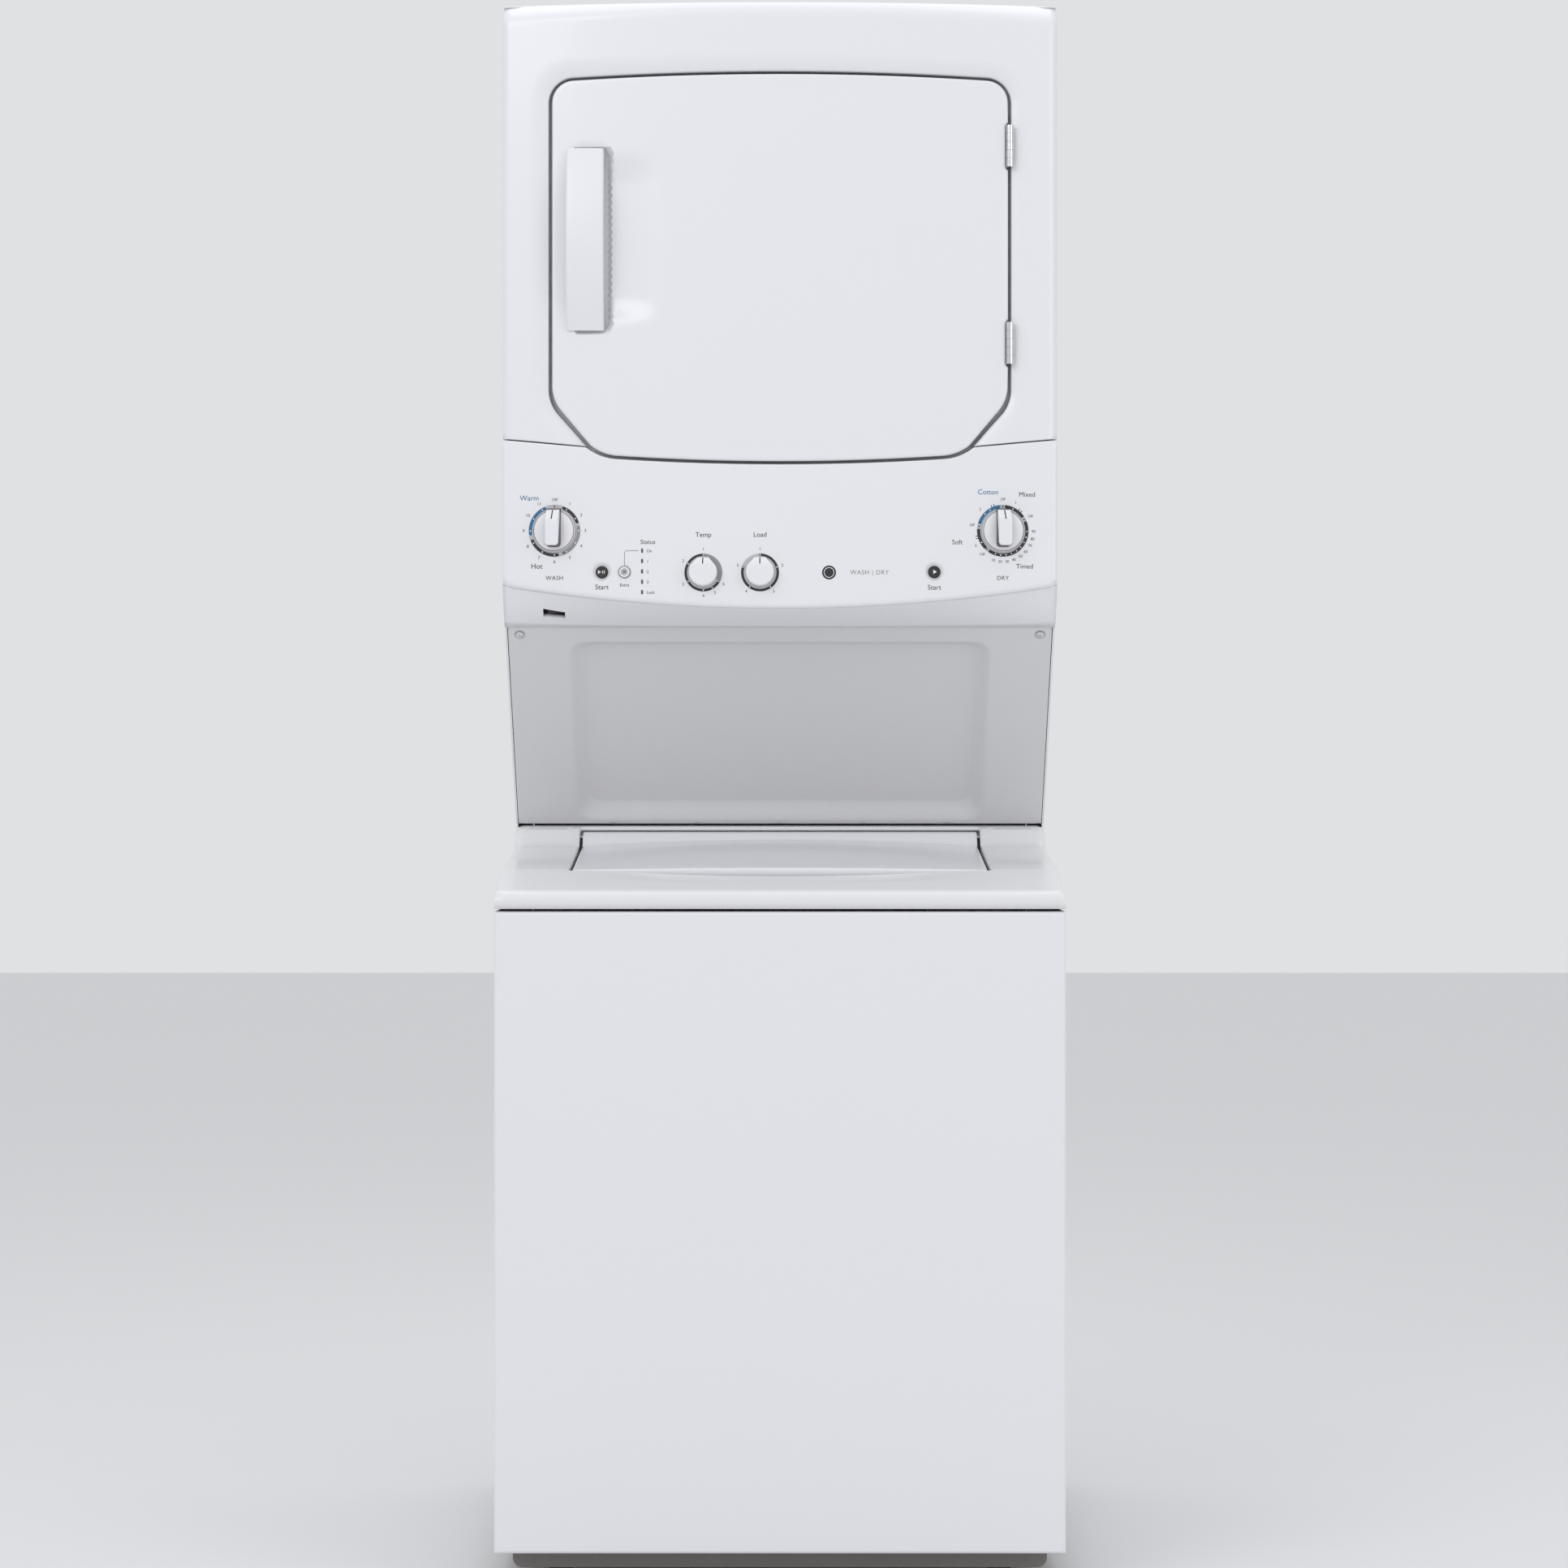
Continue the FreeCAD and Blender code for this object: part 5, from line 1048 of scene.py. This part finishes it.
def smallPrint():
    startAt, rinseAt = controls["washer_start_button"]["at"], controls["rinse_button"]["at"]
    words("inkBlack", "Start", startAt[0], startAt[1] - 18.5, 8.6)
    words("inkBlack", "Start", controls["dryer_start_button"]["at"][0], startAt[1] - 19, 8.6)
    words("inkBlack", "Extra", rinseAt[0], rinseAt[1] - 16, 5.4)
    lightX, lightZ, lightStep = lights
    for i, label in enumerate(("On", "1", "2", "3", "Lock")):
        words("inkBlack", label, lightX + 5.6, lightZ - lightStep * i - 0.6, 5, "LEFT")
    words("inkBlack", "Status", lightX + 7, lightZ + 10.5, 7.6)
    lineX = rinseAt[0]
    bar("inkDeepGrey", lineX, 1233.5, 0.7, 15)
    for i in range(5):
        a = math.radians(180 - 22.5 * i)
        bar("inkDeepGrey", lineX + 3 + 3 * math.cos(a), 1241 + 3 * math.sin(a), 0.8, 0.9)
    bar("inkDeepGrey", lineX + 10, 1244, 14, 0.7)
    dot("inkBlack", 59.8, 1217, 8.6, 0.12)
    arcBand("inkWhite", (59.8, 1217), 5.6, 6.3, 0, 360, 0.2, False)
    words("inkDeepGrey", "WASH | DRY", 109, 1217, 7.6, spread=1.12)


washerDial()
dryerDial()
smallDials()
smallPrint()
inkSlots = {"inkBlack": "black_plastic", "inkBlue": "black_plastic", "inkGrey": "splash_grey",
            "inkDeepGrey": "kick_grey", "inkWhite": "white_enamel"}
for ink, parts in prints.items():
    sheet = addPiece(ink + "Print", *joinLists(parts), "cabinet", inkSlots[ink])
    recolour(sheet, ink)


def statusLens():
    x, z, stepZ = lights
    parts = []
    for i in range(5):
        frameAt = dialFrame(x, z - stepZ * i)
        loop = roundRect(-1.15, 1.15, -2.6, 2.6, 0.7, 4)
        count = len(loop)
        rows = []
        for grow, lift in ((1, -1), (1, 0.3), (0.86, 0.5), (0.5, 0.6)):
            rows += [frameAt @ Vector((u * grow, v * grow, lift)) for u, v in loop]
        faces = []
        for k in range(3):
            near, far = k * count, (k + 1) * count
            faces += [(near + j, near + (j + 1) % count, far + (j + 1) % count, far + j) for j in range(count)]
        faces.append(tuple(3 * count + j for j in range(count)))
        parts.append((rows, faces))
    lens = addPiece("statusLens", *joinLists(parts), "cabinet", "dark_lens")
    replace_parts(lens, "status_lights")


statusLens()
print("printing")

# The washer deck and its lid.

deckLow, deckHigh = boxMm("washer_top_deck")
deck = {
    "half": deckHigh.x, "bottom": deckLow.z, "end": 423, "nose": 11, "side": 6,
    "profile": [(-5, 830.4), (9, 833), (123, 856), (392, 880), (399, 892), (404, 902), (423, 906)],
    "well": (257, 115, 413, 27), "mouth": (215, 150, 395, 50), "scoop": (235, 52, 6.5, 62, 130),
    "floor": [(0, 827), (123, 829), (392, 853), (423, 856)], "creases": (123, 396), "rearCrease": 402,
}
lid = {
    "half": 253, "front": 119, "back": 415, "frontWall": 16, "rearWall": 8, "edge": 2.2,
    "dome": 7.0, "domeFrom": 170, "domeRun": 215, "lift": 2.6, "liftRun": 60, "crease": 392,
    "slope": (123, 855, 25, 269), "rearWallFrom": 400,
    "stand": [(300, 760), (388.5, 876), (392.5, 880.5), (398, 889), (402, 894.3), (404, 896), (406, 897),
              (409, 897.8), (415, 898)],
}


def alongProfile(r, width):      # the profile with its creases rounded over that width
    rs, zs = zip(*deck["profile"])
    return sum(np.interp(r + shift * width, rs, zs) for shift in np.linspace(-0.5, 0.5, 9)) / 9


def deckZ(x, r):
    half, start, drop, run, end = deck["scoop"]
    scoop = drop * np.clip(1 - (x / half) ** 2, 0, 1) ** 1.2 * smooth((r - start) / run) * (r < end)
    return alongProfile(r, 3) - roll(r, deck["nose"]) - scoop


def deckShell():
    half, end = deck["half"], deck["end"]
    wellX, well0, well1, wellDrop = deck["well"]
    outline = roundRect(-half, half, 0, end, 1.2, 4)
    well = roundRect(-wellX, wellX, well0, well1, 7, 6)
    creases = [([(-half + 8, r), (half - 8, r)], False, (-2, 0, 2)) for r in deck["creases"]]
    creases.append(([(x, deck["rearCrease"]) for x in (-half + 8, half - 8)], False, (-1.5, 1.5)))

    def surface(pts):
        x, r = pts[:, 0], pts[:, 1]
        z = deckZ(x, r) - roll(half - np.abs(x), deck["side"])
        return z - roll(awayFrom(well, pts), 2)
    bm = skin(outline, [well], 8, surface, borders=(0.5, 1.2, 2.2, 3.6, 5.6, 8), lines=creases, place=fromAbove)

    def outer(co):
        return abs(co.x) > half - 2 or co.y < deep(1.5) or co.y > deep(end - 1.5)
    foldBack(bm, [lambda co: (co.x, co.y, deck["bottom"])], outer)
    foldBack(bm, [lambda co: (co.x, co.y, co.z - (2 if co.y > deep(well1 - 4) else wellDrop))],
             lambda co: not outer(co))
    return thicken(bmPiece("deckShell", bm, "cabinet", "deck_enamel"), 2)


def wellFloor():
    wellX, well0, well1 = deck["well"][:3]
    mouthX, mouth0, mouth1, cut = deck["mouth"]
    outline = roundRect(-wellX, wellX, well0, well1, 7, 6)
    hole = [(-mouthX + cut, mouth0), (mouthX - cut, mouth0), (mouthX, mouth0 + cut), (mouthX, mouth1 - cut),
            (mouthX - cut, mouth1), (-mouthX + cut, mouth1), (-mouthX, mouth1 - cut), (-mouthX, mouth0 + cut)]

    def surface(pts):
        return np.interp(pts[:, 1], *zip(*deck["floor"])) - roll(awayFrom(hole, pts), 6)
    bm = skin(outline, [hole], 20, surface, borders=(0.6, 1.6, 3, 5, 7.5), place=fromAbove)
    foldBack(bm, [lambda co: (co.x, co.y, co.z - 9)],
             lambda co: abs(co.x) < mouthX + 3 and deep(mouth0 - 3) < co.y < deep(mouth1 + 3))
    thicken(bmPiece("wellFloor", bm, "cabinet", "deck_enamel"), 2)


def lidShell():
    half, start, end = lid["half"], lid["front"], lid["back"]
    outline = roundRect(-half, half, start, end, 3, 5)
    crease = [(x, lid["crease"]) for x in np.linspace(-half + 8, half - 8, 40)]
    slopeAt, slopeZ, rise, run = lid["slope"]
    rearWallY = deep(lid["rearWallFrom"])
    soft = 1.4

    def surface(pts):
        x, r = pts[:, 0], pts[:, 1]
        across = np.clip(1 - (x / half) ** 2, 0, 1)
        flat = slopeZ + (r - slopeAt) * rise / run
        flat = flat + lid["dome"] * across * smooth((r - lid["domeFrom"]) / lid["domeRun"])
        flat = flat + lid["lift"] * across * (1 - smooth((r - start) / lid["liftRun"]))
        stand = np.interp(r, *zip(*lid["stand"]))
        blend = np.clip(1 - np.abs(flat - stand) / soft, 0, 1)
        return np.maximum(flat, stand) + blend**2 * soft / 4 - roll(awayFrom(outline, pts), lid["edge"])
    rows = [(crease, False, (-3, -1.5, 0, 1.5, 3, 5, 7, 9, 11, 13))]
    bm = skin(outline, [], 7, surface, borders=(0.3, 0.8, 1.5, 2.4, 4), lines=rows, place=fromAbove)
    foldBack(bm, [lambda co: (co.x, co.y, co.z - lid["rearWall" if co.y > rearWallY else "frontWall"])])
    return thicken(bmPiece("lidShell", bm, "lid", "white_enamel"), 1.6)


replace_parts(deckShell(), "washer_top_deck")
wellFloor()
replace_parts(lidShell(), "washer_lid")
print("deck and lid")

# The sloping panel and its two screws.

splash = {
    "half": 337, "foot": (423.5, 907.5), "head": (199.5, 1154.5), "deep": 12,
    "outer": (-262, 262, 8, 309, 22), "inner": (-243, 243, 31, 294, 14), "edge": 2,
    "screwX": 322, "screwDrop": 14,
}


def splashFrame():
    (r0, z0), (r1, z1) = splash["foot"], splash["head"]
    up = Vector((0, r1 - r0, z1 - z0))
    length = up.length
    up.normalize()
    out = Vector((1, 0, 0)).cross(up)
    if out.y > 0:
        out = -out
    matrix = Matrix((Vector((1, 0, 0)), up, out)).transposed().to_4x4()
    matrix.translation = Vector((0, deep(r0), z0))
    return matrix, length


def splashPanel():
    frameAt, length = splashFrame()
    outline = roundRect(-splash["half"], splash["half"], 0, length, 1.5, 4)
    outer, inner = roundRect(*splash["outer"], 10), roundRect(*splash["inner"], 10)

    def surface(pts):
        far, near = awayFrom(outer, pts), awayFrom(inner, pts)
        slope = np.where(inside(inner, pts), 1, far / np.maximum(far + near, 1e-6))
        share = np.where(inside(outer, pts), slope, 0)
        share = 0.35 * share + 0.65 * smooth(share)
        dent = 0
        for side in (-1, 1):
            d = np.hypot(pts[:, 0] - side * splash["screwX"], pts[:, 1] - length + splash["screwDrop"])
            dent = dent + 1.5 * smooth((7.2 - d) / 1.6)
        return -splash["deep"] * share - dent - roll(awayFrom(outline, pts), splash["edge"])
    bm = skin(outline, [], 9, surface, borders=(0.4, 1, 2, 3.5),
              lines=[(outer, True, (-2, 0, 2, 4.5, 7.5, 10.5)), (inner, True, (-1, 1, 3))],
              extra=[((side * splash["screwX"], length - splash["screwDrop"]), (5.2, 6, 6.8, 7.6))
                     for side in (-1, 1)],
              place=lambda p, value: frameAt @ Vector((p[0], p[1], value)))
    back = frameAt.to_3x3() @ Vector((0, 0, -11))
    foldBack(bm, [lambda co: co + back])
    # painted shade: the panel's darker grey stands in for the shade on its downward-leaning face
    panel = thicken(bmPiece("splashPanel", bm, "cabinet", "splash_grey"), 1.2)
    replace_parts(panel, "backsplash_panel")


def splashScrews():
    frameAt, length = splashFrame()
    parts = []
    for side in (-1, 1):
        place = frameAt @ Matrix.Translation((side * splash["screwX"], length - splash["screwDrop"], 0))
        turn = Matrix.Rotation(math.radians(20 if side < 0 else 62), 4, "Z")
        here = place @ turn

        def surface(pts):      # a domed head with a sunk cross
            d = np.hypot(pts[:, 0], pts[:, 1])
            dome = 2.3 * np.sqrt(np.maximum(1 - (d / 5.1) ** 2, 0)) + 0.1
            arm = np.minimum(np.abs(pts[:, 0]), np.abs(pts[:, 1]))
            reach = np.maximum(np.abs(pts[:, 0]), np.abs(pts[:, 1]))
            cross = smooth((0.75 - arm) / 0.35) * smooth((2.7 - reach) / 0.4)
            return dome - 1.5 * cross
        bm = skin(circle(0, 0, 4.8, 40), [], 0.34, surface, borders=(0.15,),
                  place=lambda p, value: here @ Vector((p[0], p[1], value)))
        inward = here.to_3x3() @ Vector((0, 0, -1))
        foldBack(bm, [lambda co: co + inward])
        bm.verts.index_update()
        parts.append(([v.co.copy() for v in bm.verts], [[v.index for v in f.verts] for f in bm.faces]))
        bm.free()
    screws = addPiece("splashScrews", *joinLists(parts), "cabinet", "chrome", sharp=60)
    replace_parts(screws, "backsplash_screws")


splashPanel()
splashScrews()
print("backsplash")

# The toe kick.

kickLow, kickHigh = boxMm("base_pan")
kick = {
    "beadDrop": 7, "beadInset": 14, "ribs": (-218, 200, -300, 300),
    "ribHalf": 4, "ribDeep": 0.9, "ribWide": 1.6,
}


def kickDetail():
    # A pressed bead along the kick and a few upright ribs.
    parts = []
    x0, x1, y, z0, z1 = kickLow.x, kickHigh.x, kickLow.y, kickLow.z, kickHigh.z
    section = [(0, -2.2), (-0.7, -1.5), (-1.1, 0), (-0.7, 1.5), (0, 2.2)]
    mid, inset = z1 - kick["beadDrop"], kick["beadInset"]
    rows = [[(x, y + a, mid + b) for a, b in section] for x in np.linspace(x0 + inset, x1 - inset, 30)]
    parts.append(gridSheet(rows))
    half, bulge, wide = kick["ribHalf"], kick["ribDeep"], kick["ribWide"]
    across = [(a * wide, bulge * math.cos(a * math.pi / 8) if abs(a) < half else 0)
              for a in (-half, -3, -1.5, 0, 1.5, 3, half)]
    for x in kick["ribs"]:
        rows = [[(x + a, y - b, z) for a, b in across] for z in np.linspace(z0 + 6, z1 - 1, 5)]
        parts.append(gridSheet(rows))
    addPiece("kickBeads", *joinLists(parts), "cabinet", "kick_grey")


kickDetail()

# Camera, light and floor.

view = {"distance": 5.0, "height": 0.9595, "lens": 96.6, "shift": 0.0026}
cameraData = bpy.data.cameras.new("camera")
cameraData.lens = view["lens"]
cameraData.shift_x = view["shift"]
camera = bpy.data.objects.new("camera", cameraData)
camera.location = (0, cadLow.y - view["distance"], view["height"])
camera.rotation_euler = (math.pi / 2, 0, 0)
scene.collection.objects.link(camera)
scene.camera = camera


def softbox(name, place, aim, size, power):
    data = bpy.data.lights.new(name, "AREA")
    data.shape = "RECTANGLE"
    data.size, data.size_y = size
    data.energy = power
    lamp = bpy.data.objects.new(name, data)
    lamp.location = place
    lamp.rotation_euler = (Vector(aim) - Vector(place)).to_track_quat("-Z", "Y").to_euler()
    scene.collection.objects.link(lamp)


softbox("keyLight", (-2.2, -3.6, 3.4), (0, 0, 1.1), (2.4, 2.0), 40)
softbox("fillLight", (2.8, -3.0, 2.0), (0, 0, 1.0), (2.0, 2.4), 19)
softbox("topLight", (0, 0.2, 4.2), (0, 0, 0), (2.6, 2.6), 25)
world = bpy.data.worlds.new("studio")
world.use_nodes = True
world.node_tree.nodes["Background"].inputs["Color"].default_value = (0.93, 0.94, 0.96, 1)
world.node_tree.nodes["Background"].inputs["Strength"].default_value = 0.8
scene.world = world
scene.view_settings.view_transform = "Standard"

floorMesh = bpy.data.meshes.new("floor")
floorMesh.from_pydata([(-14, -8, 0), (14, -8, 0), (14, 16, 0), (-14, 16, 0)], [], [(0, 1, 2, 3)])
floor = bpy.data.objects.new("floor", floorMesh)
scene.collection.objects.link(floor)
floor.data.materials.append(finish("paleFloor", "painted", (0.78, 0.78, 0.79), 0.55, 0.02, Peel_Size=30))
